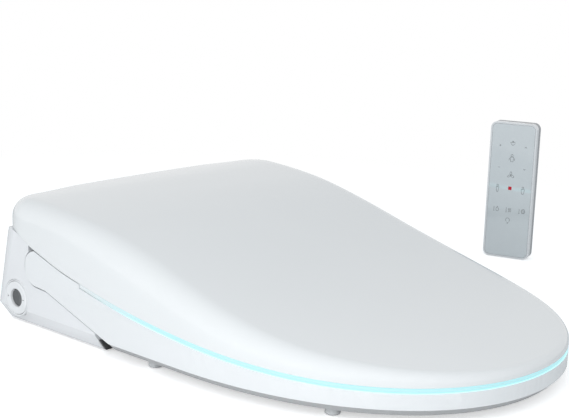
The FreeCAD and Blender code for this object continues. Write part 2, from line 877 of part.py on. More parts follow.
tunnel = box("seat_tunnel", (-s.bridge_half_width, -(s.front_reach / 2), -s.overrun),
             (s.bridge_half_width, s.overrun, s.bridge_height))
pin_bores = [
    cylinder("seat_bore_right", s.hinge_pin_radius + s.pin_gap,
             (s.housing_half_width, -s.arm_axis_reach, s.arm_axis_height),
             s.hinge_pin_reach + s.running_gap - s.housing_half_width, "x"),
    cylinder("seat_bore_left", s.hinge_pin_radius + s.pin_gap,
             (-s.housing_half_width, -s.arm_axis_reach, s.arm_axis_height),
             s.hinge_pin_reach + s.running_gap - s.housing_half_width, "-x"),
]
seat_solid = fuse("seat_solid", skirt_outer, crown_outer)
seat_hollow_raw = fuse("seat_hollow_raw", skirt_inner, crown_inner)
seat_hollow = cut("seat_hollow", common("seat_hollow_cut", seat_hollow_raw, hollow_limit), bridge_block)
seat_shell = node(cut("seat_top_shell", seat_solid, seat_hollow, tunnel, *pin_bores))

# Bottom pan of the seat: a chamfered tray that closes the ring from below
pan_rear = -arm_start_reach - s.running_gap * 3
pan_top = s.seat_edge_height - s.running_gap


def pan_form(name, low_inset, high_inset, low, high, rear):
    body = new_body(name)
    loft(body, outline(low_inset, rear), low, outline(high_inset, rear), high)
    pocket(body, "XY", opening(high_inset))
    return body


pan_outer = pan_form("seat_pan_outer", s.seat_chamfer, s.running_gap, s.seat_pan_height, pan_top, pan_rear)
pan_inner = pan_form("seat_pan_inner", s.pan_rim, s.pan_rim, s.seat_pan_height + s.pan_thickness,
                     s.seat_edge_height, pan_rear - s.pan_thickness)
pan_bridge = box("seat_pan_bridge", bridge_low, bridge_high)
node(cut("seat_bottom_pan", pan_outer, cut("seat_pan_hollow", pan_inner, pan_bridge), tunnel))


def ring_band(name, curve, top_drop, thickness, outer_inset, inner, rear):
    """A thin layer under a shaped line, between two plan outlines, in front of a rear limit."""
    body = new_body(name)
    high_line, high_back, high_ahead = curve(top_drop)
    low_line, low_back, low_ahead = curve(top_drop + thickness)
    pad(body, "YZ", high_line + [Part.LineSegment(high_ahead, low_ahead)] + low_line
        + [Part.LineSegment(low_back, high_back)], FULL_WIDTH, middle=True)
    pocket(body, "XY", frame_rectangle() + outline(outer_inset, -float(rear)))
    pocket(body, "XY", inner)
    return body


def light_line(drop):
    return seam_curves(-drop, -drop)


node(ring_band("seat_heater_film", seat_top, s.seat_wall + s.ledge_gap, s.heater_thickness,
               s.seat_ledge + s.seat_wall + s.heater_inset, opening(s.heater_inset),
               s.opening_rear_reach + s.heater_inset))


def inner_outline(inset):
    """An outline whose straight rear runs past the rear limit, so that the band stays open at its back."""
    return outline(inset, float(s.overrun * 2))


node(ring_band("light_guide", light_line, s.light_drop - s.light_height, s.light_height, s.light_inset,
               inner_outline(s.light_inset + s.light_depth), s.light_end_reach + s.running_gap))
led_inset = s.seat_wall + s.led_board_inset
node(ring_band("led_board", light_line, s.light_drop + s.ledge_gap * 2 + s.seat_wall, s.led_board_thickness,
               led_inset, inner_outline(led_inset + s.led_board_width), arm_start_reach + s.bridge_margin * 2))

pads = []
for side in (1, -1):
    for reach, offset, end in ((s.front_bumper_reach, s.front_bumper_offset, "front"),
                               (s.rear_bumper_reach, s.rear_bumper_offset, "rear")):
        pads.append(cylinder(f"bumper_{end}_{len(pads)}", s.bumper_radius, (side * offset, -reach, ZERO),
                             s.seat_pan_height))
node(fuse("seat_bumpers", *pads))

# Base unit: cheeks, cover, front panel and tray around the works

clear_reach = s.overrun * 4


def base_outline(inset, rear_reach, corner, front):
    half = float(s.base_half_width) - float(inset)
    rear = float(rear_reach) - float(inset)
    r = max(float(corner) - float(inset), 1.0)
    front_y = -float(front)
    turn = r * (1 - math.sqrt(0.5))
    curves = open_lines(point(-half, rear - r), point(-half, front_y), point(half, front_y), point(half, rear - r))
    curves.append(Part.ArcOfCircle(point(half, rear - r), point(half - turn, rear - turn), point(half - r, rear)))
    curves += open_lines(point(half - r, rear), point(-half + r, rear))
    curves.append(Part.ArcOfCircle(point(-half + r, rear), point(-half + turn, rear - turn), point(-half, rear - r)))
    return curves


def base_form(name, inset, front):
    """The unit's outer form: walls that lean in at the rear, on a chamfered foot."""
    inset = float(inset)
    body = new_body(name)
    chamfer = float(s.base_chamfer)
    edge = s.base_edge_height
    low = base_outline(inset + chamfer, s.base_rear_reach, s.base_corner_radius, front)
    middle = base_outline(inset, s.base_rear_reach, s.base_corner_radius, front)
    high = base_outline(inset, s.base_top_rear_reach, s.base_top_corner_radius, front)
    loft(body, low, ZERO, middle, edge)
    loft(body, middle, edge, high, s.base_form_height)
    return body


base_outer = base_form("base_outer_form", 0.0, base_front_reach)
base_inner = base_form("base_inner_form", s.base_wall, base_front_reach + s.overrun)
trough = along_lid_axis("lid_trough", trough_radius, -s.half_width - s.overrun, FULL_WIDTH)
cheek_lift = s.lid_lift - s.lid_gap
cheek_inner = s.housing_half_width + s.cheek_gap
cheek_front = base_front_reach - s.base_wall - s.running_gap


def cheek_profile(name, grow):
    """What a cheek keeps of the side view: below the arm's groove and the lid's lower edge.
    Its thin tip over the arm is cut back, where the arm's top swings past as the seat goes up."""
    body = new_body(name)
    grow = float(grow)
    front = -float(cheek_front) + grow
    rear = float(s.base_rear_reach + s.overrun)
    top = float(s.seam_rear_height + s.overrun)
    floor = float(s.foot_height) + grow
    pad(body, "YZ", lines(point(front, floor), point(rear, floor), point(rear, top), point(front, top)),
        FULL_WIDTH, middle=True)
    pocket(body, "YZ", above(*seam_curves(float(cheek_lift) - grow, float(cheek_lift) - grow)))
    pocket(body, "YZ", arm_envelope(float(s.arm_groove) + grow))
    relief_y = float(s.arm_relief_back - s.arm_axis_reach) + grow
    relief_z = float(s.arm_axis_height + s.arm_relief_rise) - grow
    pocket(body, "YZ", lines(point(front, relief_z), point(relief_y, relief_z), point(relief_y, top), point(front, top)))
    return body


cheek_outside = cheek_profile("cheek_outside", 0.0)
cheek_inside = cheek_profile("cheek_inside", s.base_wall)
cheek_skin = cut("cheek_skin", common("cheek_solid", base_outer, cheek_outside),
                 common("cheek_hollow", base_inner, cheek_inside), trough)
cheek_limit = (s.half_width, clear_reach, s.lid_top_height)
right_side = box("right_side", (cheek_inner, -s.front_reach, ZERO), cheek_limit)
left_side = box("left_side", (-s.half_width, -s.front_reach, ZERO), (-cheek_inner, clear_reach, s.lid_top_height))

# Openings in the cheeks: the knob on the left, the release button and the filter drawer on the right
bezel_hole = cylinder("bezel_hole", s.bezel_radius + s.running_gap,
                      (-s.half_width - s.overrun, s.knob_reach, s.knob_height),
                      s.overrun + s.half_width - s.housing_half_width - s.running_gap, "x")
release_hole = cylinder("release_hole", s.release_radius + s.running_gap,
                        (cheek_inner, -s.release_reach, s.release_height), s.overrun * 2, "x")
filter_low = (s.filter_inner_offset, s.filter_front, s.filter_low)
filter_high = (s.half_width, s.filter_rear, s.filter_high)
sleeve_out = s.filter_gap + s.sleeve_wall
filter_hole = box("filter_hole", tuple(a - s.filter_gap for a in filter_low),
                  tuple(a + s.filter_gap for a in filter_high))
sleeve_room = box("sleeve_room", tuple(a - sleeve_out - s.running_gap for a in filter_low),
                  (s.base_half_width - s.base_wall, s.filter_rear + sleeve_out + s.running_gap,
                   s.filter_high + sleeve_out + s.running_gap))
node(cut("left_cheek", common("left_cheek_blank", cheek_skin, left_side), bezel_hole))
node(cut("right_cheek", common("right_cheek_blank", cheek_skin, right_side), release_hole, filter_hole,
         sleeve_room))


# Top cover of the housing, with its side walls, rear wall and the two hinge knuckles
def cover_profile(name, inset, open_front):
    inset = float(inset)
    body = new_body(name)
    front = -float(s.cover_front_reach) + inset
    rear_top = float(s.cover_rear_reach) - inset
    foot = float(s.cover_foot_height)
    line = shaped(COVER_SHARES, front, rear_top, foot, float(s.cover_top_height) - inset)
    curve = smooth(line, Vector(0, 1, 0), (line[-1] - line[-2]).normalize())
    shelf = float(s.cover_shelf_height) - inset
    rear = float(s.base_rear_reach + s.overrun)
    floor = -float(s.overrun) if open_front else float(s.tray_rim_height + s.running_gap)
    start = point(-float(s.cover_front_reach + s.overrun), foot) if open_front else point(front, foot)
    bottom = point(start.x, floor)
    side_lines = open_lines(line[-1], point(rear_top, shelf), point(rear, shelf), point(rear, floor), bottom, start)
    closing = open_lines(start, line[0]) if open_front else []
    width = (s.housing_half_width - inset) * 2
    pad(body, "YZ", [curve] + side_lines + closing, width, middle=True)
    return body


cover_outside = cover_profile("cover_outside", 0.0, False)
cover_inside = cover_profile("cover_inside", s.base_wall, True)
cover_apron = box("cover_apron", (-s.housing_half_width, s.tray_rear_reach + s.running_gap, s.foot_height),
                  (s.housing_half_width, clear_reach, s.base_edge_height))
cover_solid = common("cover_solid", fuse("cover_with_apron", cover_outside, cover_apron), base_outer)
# the rear wall stops lower than the roll, where the lid's back swings past as it opens
swing_room = box("lid_swing_room", (-s.half_width, lid_axis[0], lid_axis[1] - s.lid_roll_radius - s.lid_swing_gap),
                 (s.half_width, clear_reach, s.lid_top_height))
cover_skin = cut("cover_skin", cover_solid, common("cover_hollow", cover_inside, base_inner), trough, swing_room)
knuckles = []
for side, name in ((1, "right"), (-1, "left")):
    low_x = s.knuckle_offset if side > 0 else -knuckle_end
    bar = along_lid_axis(f"knuckle_bar_{name}", s.lid_roll_radius, low_x, s.knuckle_width)
    root = box(f"knuckle_root_{name}",
               (low_x, lid_axis[0] - s.knuckle_root_front, s.cover_shelf_height - s.lid_roll_radius),
               (low_x + s.knuckle_width, lid_axis[0] + s.knuckle_root_rear, lid_axis[1]))
    knuckles += [bar, root]
knuckle_trim = outline_prism("knuckle_trim", s.cheek_gap, s.overrun, s.lid_top_height)
knuckle_bars = common("knuckle_bars", fuse("knuckle_blanks", *knuckles), knuckle_trim)
knuckle_bores = [
    along_lid_axis("knuckle_bore_right", s.spindle_radius + s.pin_gap, s.knuckle_offset - s.overrun,
                   s.knuckle_width + s.overrun * 2),
    along_lid_axis("knuckle_bore_left", s.spindle_radius + s.pin_gap, -knuckle_end - s.overrun,
                   s.knuckle_width + s.overrun * 2),
]
screw_bosses = []
screw_places = [(side * s.screw_offset, y) for side in (1, -1) for y in (-s.screw_front_reach, s.screw_rear_reach)]
for i, (x, y) in enumerate(screw_places):
    screw_bosses.append(cylinder(f"screw_boss_{i}", s.screw_boss_radius, (x, y, s.tray_rim_height + s.running_gap),
                                 s.screw_boss_height))
pin_holes = cylinder("housing_pin_holes", s.hinge_pin_radius + s.pin_gap,
                     (-s.housing_half_width - s.overrun, -s.arm_axis_reach, s.arm_axis_height),
                     (s.housing_half_width + s.overrun) * 2, "x")
stem_hole = cylinder("stem_hole", s.release_stem_radius + s.running_gap,
                     (s.plate_half_length, -s.release_reach, s.release_height), s.half_width - s.plate_half_length, "x")
knob_post_hole = cylinder("knob_lead_hole", s.plunger_radius,
                          (-s.housing_half_width - s.overrun, s.knob_reach, s.knob_height), s.overrun * 2, "x")
inlet_window = box("inlet_window",
                   (s.inlet_offset - s.inlet_cup_half + s.inlet_cup_wall, s.inlet_cup_depth,
                    s.inlet_height - s.inlet_cup_half + s.inlet_cup_wall),
                   (s.inlet_offset + s.inlet_cup_half - s.inlet_cup_wall, clear_reach,
                    s.inlet_height + s.inlet_cup_half - s.inlet_cup_wall))
gland_hole = cylinder("gland_hole", s.gland_radius + s.pin_gap, (s.gland_offset, s.cover_rear_reach, s.inlet_height),
                      clear_reach, "y")
screw_pilots = [cylinder(f"screw_pilot_{i}", s.screw_radius + s.pin_gap,
                         (x, y, ZERO), s.foot_height + s.screw_length + s.running_gap)
                for i, (x, y) in enumerate(screw_places)]
cover_blank = fuse("cover_blank", cover_skin, knuckle_bars, *screw_bosses)
node(cut("base_top_cover", cover_blank, pin_holes, stem_hole, knob_post_hole, filter_hole, sleeve_room,
         inlet_window, gland_hole, *knuckle_bores, *screw_pilots))

# Front panel with the nozzle port, the warm-air outlet and the intake grille
panel_low = s.foot_height + s.tray_floor + s.running_gap
panel = box("front_panel_blank", (-s.housing_half_width + s.base_wall + s.running_gap, -s.cover_front_reach, panel_low),
            (s.housing_half_width - s.base_wall - s.running_gap, -(s.cover_front_reach - s.base_wall),
             s.cover_foot_height - s.running_gap))
front_cut = -(s.cover_front_reach + s.overrun)
outlet = box("dryer_outlet", (-(s.dryer_offset + s.dryer_half_width), front_cut, s.dryer_low),
             (-(s.dryer_offset - s.dryer_half_width), -s.fan_rear_reach, s.dryer_high))
bar_pitch = (s.grille_half_width * 2) / s.grille_bars
grille_slots = []
for i in range(int(SIZES["grille_bars"])):
    slot_low = s.grille_offset - s.grille_half_width + bar_pitch * i
    grille_slots.append(box(f"grille_slot_{i}", (slot_low + s.duct_wall / 2, front_cut, s.grille_low),
                            (slot_low + bar_pitch - s.duct_wall / 2, -s.fan_rear_reach, s.grille_high)))
tilt = Placement(Vector(0, float(-(s.cover_front_reach - s.nozzle_recess)), float(s.nozzle_height)),
                 Rotation(Vector(1, 0, 0), float(s.nozzle_tilt)))


def tilted(thing):
    """Lays a piece drawn along +Y from the port onto the nozzle's slope."""
    thing.Placement = tilt.multiply(thing.Placement)
    return thing


port_low = cylinder("port_bore_ahead", s.port_radius, (ZERO, -s.overrun, ZERO), s.overrun + s.running_gap, "y")
port_bore = tilted(fuse("port_bore", port_low, cylinder("port_bore_behind", s.port_radius, (ZERO, ZERO, ZERO),
                                                        s.overrun, "y")))
flap_axis = (-(s.cover_front_reach - s.base_wall / 2), s.dryer_high - s.flap_thickness)
flap_sockets = cylinder("flap_sockets", s.flap_pin_radius + s.pin_gap,
                        (-(s.dryer_offset + s.dryer_half_width + s.flap_thickness), flap_axis[0], flap_axis[1]),
                        (s.dryer_half_width + s.flap_thickness) * 2, "x")
node(cut("base_front_panel", panel, outlet, port_bore, flap_sockets, *grille_slots))

# Tray under the works, raised into a pocket over the mounting plate
tray_low = s.foot_height
pocket_half = s.plate_half_length + s.plate_gap
pocket_front = s.plate_half_depth + s.plate_gap
pocket_rear = s.plate_half_depth + s.plate_slide_room
pocket_top = s.plate_pocket_height + s.tray_floor
tray_blank = box("tray_blank", (-s.housing_half_width, -base_front_reach, tray_low),
                 (s.housing_half_width, s.tray_rear_reach, s.tray_rim_height))
tray_hollow = box("tray_hollow", (-(s.housing_half_width - s.base_wall), -(base_front_reach - s.base_wall),
                                  tray_low + s.tray_floor),
                  (s.housing_half_width - s.base_wall, s.tray_rear_reach - s.base_wall, s.tray_rim_height + s.overrun))
pocket_shell = box("pocket_shell", (-(pocket_half + s.base_wall), -(pocket_front + s.base_wall), tray_low),
                   (pocket_half + s.base_wall, pocket_rear + s.base_wall, pocket_top))
pocket_room = box("pocket_room", (-pocket_half, -pocket_front, -s.overrun), (pocket_half, pocket_rear,
                                                                          s.plate_pocket_height))
flange_high = s.seat_edge_height - s.arm_groove - s.running_gap
front_flange = box("tray_front_flange", (-s.base_half_width, -base_front_reach, tray_low),
                   (s.base_half_width, -(base_front_reach - s.base_wall), flange_high))
latch_door = box("latch_door",
                 (s.plate_half_length, -(s.release_reach + s.latch_half_depth + s.running_gap),
                  s.latch_low - s.running_gap),
                 (pocket_half + s.base_wall + s.overrun / 4, -(s.release_reach - s.latch_half_depth - s.running_gap),
                  s.latch_high + s.running_gap))
posts = []
post_inset = s.board_post_inset
post_places = [(x, y) for x in (s.board_low_offset + s.board_post_low_inset, s.board_high_offset - post_inset)
               for y in (-s.board_front + post_inset, s.board_rear - post_inset)]
for i, (x, y) in enumerate(post_places):
    posts.append(cylinder(f"board_post_{i}", s.board_post_radius, (x, y, s.plate_pocket_height),
                          s.board_height - s.plate_pocket_height))
screw_heads = [cylinder(f"screw_head_room_{i}", s.screw_head_radius + s.running_gap, (x, y, ZERO),
                        s.foot_height + s.screw_head_height + s.running_gap)
               for i, (x, y) in enumerate(screw_places)]
tray_form = base_form("tray_trim", s.cheek_gap, base_front_reach)
tray_solid = fuse("tray_solid", cut("tray_open", tray_blank, tray_hollow), pocket_shell,
                  common("tray_flange", front_flange, tray_form), *posts)
pilots_low = [cylinder(f"tray_pilot_{i}", s.screw_radius + s.running_gap, (x, y, ZERO), s.tray_rim_height)
              for i, (x, y) in enumerate(screw_places)]
node(cut("base_bottom_tray", tray_solid, pocket_room, latch_door, *screw_heads, *pilots_low))

screws = []
for i, (x, y) in enumerate(screw_places):
    screws.append(fuse(f"screw_{i}",
                       cylinder(f"screw_shank_{i}", s.screw_radius, (x, y, s.foot_height + s.running_gap),
                                s.screw_length),
                       cylinder(f"screw_cap_{i}", s.screw_head_radius, (x, y, s.foot_height + s.running_gap),
                                s.screw_head_height)))
node(fuse("cover_screws", *screws))

feet = []
foot_x = s.housing_half_width - s.foot_radius * 3
for side in (1, -1):
    for y in (-base_front_reach + s.foot_radius * 2, s.tray_rear_reach - s.foot_radius):
        feet.append(cylinder(f"foot_{len(feet)}", s.foot_radius, (side * foot_x, y, ZERO), s.foot_height))
node(fuse("base_feet", *feet))

# Mounting plate: bolted to the bowl through two slots, with the tab that the latch holds
plate_blank = box("plate_blank", (-s.plate_half_length, -s.plate_half_depth, ZERO),
                  (s.plate_half_length, s.plate_half_depth, s.plate_thickness))
plate_tab = box("plate_tab", (s.plate_half_length - s.plate_tab_thickness * 2,
                              -(s.release_reach + s.plate_tab_half_depth), ZERO),
                (s.plate_half_length - s.plate_tab_thickness, -(s.release_reach - s.plate_tab_half_depth),
                 s.plate_thickness + s.plate_tab_height))
tab_notch = box("tab_notch", (s.overrun, -(s.release_reach + s.latch_half_depth + s.latch_notch_gap),
                              s.latch_low - s.latch_notch_gap),
                (s.half_width, -(s.release_reach - s.latch_half_depth - s.latch_notch_gap),
                 s.latch_high + s.latch_notch_gap))
slots = []
slot_half = s.bolt_slot_length / 2 - s.bolt_hole_radius
for side, name in ((1, "right"), (-1, "left")):
    middle_x = side * (s.bolt_spacing / 2)
    slots += [
        box(f"slot_{name}", (middle_x - slot_half, -s.bolt_hole_radius, -s.overrun),
            (middle_x + slot_half, s.bolt_hole_radius, s.overrun)),
        cylinder(f"slot_end_a_{name}", s.bolt_hole_radius, (middle_x - slot_half, ZERO, -s.overrun), s.overrun * 2),
        cylinder(f"slot_end_b_{name}", s.bolt_hole_radius, (middle_x + slot_half, ZERO, -s.overrun), s.overrun * 2),
    ]
node(cut("mounting_plate", fuse("plate_solid", plate_blank, cut("plate_tab_notched", plate_tab, tab_notch)), *slots))

# Release button, its stem and the latch that drops into the plate's tab
face_x = s.base_half_width
button_low = face_x - s.release_depth
node(cylinder("release_button", s.release_radius, (button_low, -s.release_reach, s.release_height),
              s.release_depth, "x"))
web_low = pocket_half + s.base_wall + s.release_travel + s.plate_gap
latch_bar = box("latch_bar",
                (s.plate_half_length - s.plate_tab_thickness * 2, -(s.release_reach + s.latch_half_depth), s.latch_low),
                (web_low + s.latch_web, -(s.release_reach - s.latch_half_depth), s.latch_high))
latch_upright = box("latch_upright", (web_low, -(s.release_reach + s.latch_half_depth), s.latch_low),
                    (web_low + s.latch_web, -(s.release_reach - s.latch_half_depth),
                     s.release_height + s.release_stem_radius + s.latch_web))
latch_stem = cylinder("latch_stem", s.release_stem_radius, (web_low, -s.release_reach, s.release_height),
                      button_low - web_low, "x")
node(fuse("release_latch", latch_bar, latch_upright, latch_stem))


# Seat hinge: pins on the housing's sides and their slow-close dampers inside
pins = []
dampers = []
pin_root = s.housing_half_width - s.hinge_pin_root
for side, name in ((1, "right"), (-1, "left")):
    along = "x" if side > 0 else "-x"
    pins.append(cylinder(f"hinge_pin_{name}", s.hinge_pin_radius,
                         (side * pin_root, -s.arm_axis_reach, s.arm_axis_height), s.hinge_pin_reach - pin_root, along))
    dampers.append(cylinder(f"seat_damper_{name}", s.seat_damper_radius,
                            (side * (pin_root - s.seat_damper_length), -s.arm_axis_reach, s.arm_axis_height),
                            s.seat_damper_length - s.running_gap, along))
node(fuse("seat_hinge_pins", *pins, *dampers))

# Wash nozzle, drawn along +Y from the port and tilted: tip, wand with its rack, cradle, pinion, motor and feed tube
tip_bar = cylinder("tip_bar", s.nozzle_radius, (ZERO, ZERO, ZERO), s.tip_length, "y")
tip_shield = cylinder("tip_shield", s.shield_radius, (ZERO, -s.shield_thickness, ZERO), s.shield_thickness, "y")
spray_holes = [cylinder(f"spray_hole_{i}", s.spray_hole_radius, (ZERO, s.spray_hole_pitch * (i + 2), ZERO),
                        s.nozzle_radius + s.spray_hole_radius) for i in range(3)]
node(tilted(cut("nozzle_tip", fuse("tip_blank", tip_bar, tip_shield), *spray_holes)))

rack_pitch = math.pi * float(s.rack_module)
RACK_TOOTH_SHARES = ((-0.5, 0), (-0.33, 0), (-0.12, 1), (0.12, 1), (0.33, 0))


def rack_profile(first, last):
    """Straight-sided teeth, a gap of which faces the pinion's station."""
    station = float(s.pinion_station)
    root = float(s.rack_root - s.pinion_backlash)
    tip = float(s.rack_root + s.rack_module * 2)
    count = int((float(last) - station) / rack_pitch)
    corners = [point(first, s.rack_root - s.rack_module * 3)]
    for k in range(1, count):
        middle = station + (k + 0.5) * rack_pitch
        if middle - rack_pitch / 2 > float(first):
            corners += [point(middle + a * rack_pitch, root + (tip - root) * b) for a, b in RACK_TOOTH_SHARES]
    corners.insert(1, point(first, root))
    corners.append(point(last, root))
    corners.append(point(last, s.rack_root - s.rack_module * 3))
    return lines(*corners)


wand_start = s.tip_length + s.running_gap
wand_bar = cylinder("wand_bar", s.nozzle_radius, (ZERO, wand_start, ZERO), s.nozzle_length - wand_start, "y")
rack_body = new_body("wand_rack")
pad(rack_body, "YZ", rack_profile(wand_start, s.nozzle_length - s.rack_module * 2), s.rack_width, middle=True)
wand_bore = cylinder("wand_bore", s.nozzle_bore, (ZERO, s.feed_start - s.running_gap, ZERO), s.nozzle_length, "y")
node(tilted(cut("nozzle_wand", fuse("wand_blank", wand_bar, rack_body), wand_bore)))

PINION_TEETH = 12
PINION_TOOTH_SHARES = ((-0.30, 0), (-0.10, 1), (0.10, 1), (0.30, 0))
pinion_middle = (s.pinion_station, s.rack_root + s.rack_module * (PINION_TEETH / 2 + 1) + s.pinion_backlash)


def pinion_profile():
    low = float(s.rack_module) * (PINION_TEETH / 2 - 1.25)
    high = float(s.rack_module) * (PINION_TEETH / 2 + 1)
    step = 2 * math.pi / PINION_TEETH
    corners = []
    for k in range(PINION_TEETH):
        for a, b in PINION_TOOTH_SHARES:
            turn = -math.pi / 2 + (k + a) * step
            r = low + (high - low) * b
            corners.append(point(float(pinion_middle[0]) + r * math.cos(turn),
                                 float(pinion_middle[1]) + r * math.sin(turn)))
    return lines(*corners)


pinion_body = new_body("pinion_gear")
pad(pinion_body, "YZ", pinion_profile(), s.rack_width, middle=True)
channel_half = s.nozzle_radius + s.cradle_wall + s.running_gap * 2
bracket_low = channel_half - s.base_wall
motor_low = channel_half + s.running_gap
pinion_shaft = cylinder("pinion_shaft", s.pinion_shaft_radius, (-(s.rack_width / 2), *pinion_middle),
                        s.rack_width / 2 + motor_low + s.motor_bearing_depth - s.running_gap, "x")
node(tilted(fuse("nozzle_pinion", pinion_body, pinion_shaft)))

channel = box("cradle_channel", (-channel_half, s.rack_module * 2, -channel_half),
              (channel_half, s.rack_module * 2 + s.cradle_length, s.cradle_rise))
bracket_start = s.pinion_station - s.bracket_length / 2
bracket = box("cradle_bracket", (bracket_low, bracket_start, ZERO),
              (channel_half, bracket_start + s.bracket_length, s.cradle_rise + s.bracket_rise))
cradle_blank = tilted(fuse("cradle_blank", channel, bracket))
channel_bore = cylinder("channel_bore", s.nozzle_radius + s.running_gap * 2, (ZERO, -s.overrun, ZERO),
                        s.nozzle_length + s.overrun * 2, "y")
shaft_hole = cylinder("bracket_hole", s.pinion_shaft_radius + s.running_gap, (ZERO, *pinion_middle),
                      channel_half * 2, "x")
rack_room = box("rack_room", (-(s.rack_width / 2 + s.rack_module), -s.overrun, ZERO),
                (s.rack_width / 2 + s.rack_module, s.nozzle_length + s.overrun, s.nozzle_radius * 2))
cradle_bores = tilted(fuse("cradle_bores", channel_bore, shaft_hole, rack_room))
leg_half = s.nozzle_radius
front_leg = box("cradle_front_leg", (-leg_half, -(s.screw_front_reach - s.leg_inset), tray_low + s.tray_floor
                                     + s.running_gap),
                (leg_half, -(s.screw_front_reach - s.leg_inset - s.leg_depth), s.nozzle_height - s.nozzle_radius))
rear_leg = box("cradle_rear_leg", (-leg_half, s.leg_rear_reach - s.leg_depth, pocket_top + s.running_gap),
               (leg_half, s.leg_rear_reach, s.leg_rear_height))
node(cut("nozzle_cradle", fuse("cradle_with_legs", cradle_blank, front_leg, rear_leg), cradle_bores))

motor_bar = cylinder("nozzle_motor_bar", s.motor_radius, (motor_low, *pinion_middle), s.motor_length, "x")
motor_bore = cylinder("nozzle_motor_bore", s.pinion_shaft_radius + s.pin_gap, (motor_low - s.overrun, *pinion_middle),
                      s.motor_bearing_depth + s.overrun, "x")
node(tilted(cut("nozzle_motor", motor_bar, motor_bore)))

feed_end = s.nozzle_length + s.rack_module * 2 + s.feed_block
feed_pipe = cylinder("feed_pipe", s.feed_radius, (ZERO, s.feed_start, ZERO), feed_end - s.feed_start, "y")
feed_half = s.feed_radius * 2
feed_head = box("feed_head", (-feed_half, feed_end - s.feed_block, -feed_half), (feed_half, feed_end, feed_half))
feed_hole = cylinder("feed_hole", s.feed_radius / 2, (ZERO, s.feed_start - s.overrun, ZERO),
                     feed_end - s.feed_start + s.overrun - s.rack_module * 2, "y")
node(tilted(cut("nozzle_feed_tube", fuse("feed_blank", feed_pipe, feed_head), feed_hole)))

# Warm-air dryer: flap at the outlet, duct, heater fins, and the blower behind them


def shell_box(name, low, high, wall, open_low=(), open_high=()):
    """A box with thin walls; the named sides (x, y, z as 0, 1, 2) are left open."""
    inner_low = [a - s.overrun if i in open_low else a + wall for i, a in enumerate(low)]
    inner_high = [a + s.overrun if i in open_high else a - wall for i, a in enumerate(high)]
    return cut(name, box(name + "_outside", low, high), box(name + "_inside", tuple(inner_low), tuple(inner_high)))


duct_front = -(s.cover_front_reach - s.base_wall - s.running_gap)
outlet_low = -(s.dryer_offset + s.dryer_half_width)
outlet_high = -(s.dryer_offset - s.dryer_half_width)
blower_front = -(s.blower_center_reach + s.blower_radius)
dryer_low_edge = (outlet_low - s.duct_wall, duct_front, s.dryer_low - s.duct_wall)
node(shell_box("dryer_duct", dryer_low_edge,
               (outlet_high + s.duct_wall, blower_front - s.running_gap, s.dryer_high + s.duct_wall), s.duct_wall,
               (1,), (1,)))

flap_low = outlet_low + s.running_gap * 2
flap_width = s.dryer_half_width * 2 - s.running_gap * 4
flap_leaf = box("flap_leaf", (flap_low, flap_axis[0] - s.flap_thickness / 2, s.dryer_low + s.running_gap * 2),
                (flap_low + flap_width, flap_axis[0] + s.flap_thickness / 2, flap_axis[1]))
flap_barrel = cylinder("flap_barrel", s.flap_pin_radius, (flap_low, *flap_axis), flap_width, "x")
flap_pins = cylinder("flap_pins", s.flap_pin_radius, (outlet_low - s.flap_thickness + s.running_gap, *flap_axis),
                     (s.dryer_half_width + s.flap_thickness - s.running_gap) * 2, "x")
node(fuse("dryer_flap", flap_leaf, flap_barrel, flap_pins))

fin_start = -(s.cover_front_reach - s.fin_inset)
fin_end = fin_start + s.fin_depth
fin_pieces = []
fin_pitch = s.dryer_half_width * 2 / (s.heater_fins + 1)
for i in range(int(SIZES["heater_fins"])):
    fin_x = outlet_low + fin_pitch * (i + 1)
    fin_pieces.append(box(f"heater_fin_{i}", (fin_x - s.fin_thickness / 2, fin_start, s.dryer_low + s.running_gap),
                          (fin_x + s.fin_thickness / 2, fin_end, s.dryer_high - s.running_gap)))
for z in (s.dryer_low + s.fin_thickness * 4, s.dryer_high - s.fin_thickness * 4):
    fin_pieces.append(cylinder(f"heater_rod_{len(fin_pieces)}", s.fin_thickness,
                               (outlet_low + s.running_gap, (fin_start + fin_end) / 2, z),
                               s.dryer_half_width * 2 - s.running_gap * 2, "x"))
node(fuse("dryer_heater", *fin_pieces))

blower_axis = (-s.blower_offset, -s.blower_center_reach)
drum = cylinder("blower_drum", s.blower_radius, (*blower_axis, s.blower_low), s.blower_high - s.blower_low)
spout = box("blower_spout", (outlet_low, blower_front, s.blower_low), (outlet_high, blower_axis[1], s.blower_high))
foot = cylinder("blower_foot", s.blower_motor_radius, (*blower_axis, pocket_top + s.running_gap),
                s.blower_low - pocket_top)
drum_room = cylinder("blower_room", s.blower_radius - s.duct_wall, (*blower_axis, s.blower_low + s.duct_wall),
                     s.blower_high - s.blower_low - s.duct_wall * 2)
spout_room = box("blower_spout_room", (outlet_low + s.duct_wall, blower_front - s.overrun, s.blower_low + s.duct_wall),
                 (outlet_high - s.duct_wall, blower_axis[1], s.dryer_high))
blower_hole = cylinder("blower_shaft_hole", s.blower_shaft_radius + s.running_gap, (*blower_axis, s.blower_low
                                                                                     + s.duct_wall),
                       s.blower_high)
node(cut("blower_housing", fuse("blower_blank", drum, spout, foot), drum_room, spout_room, blower_hole))


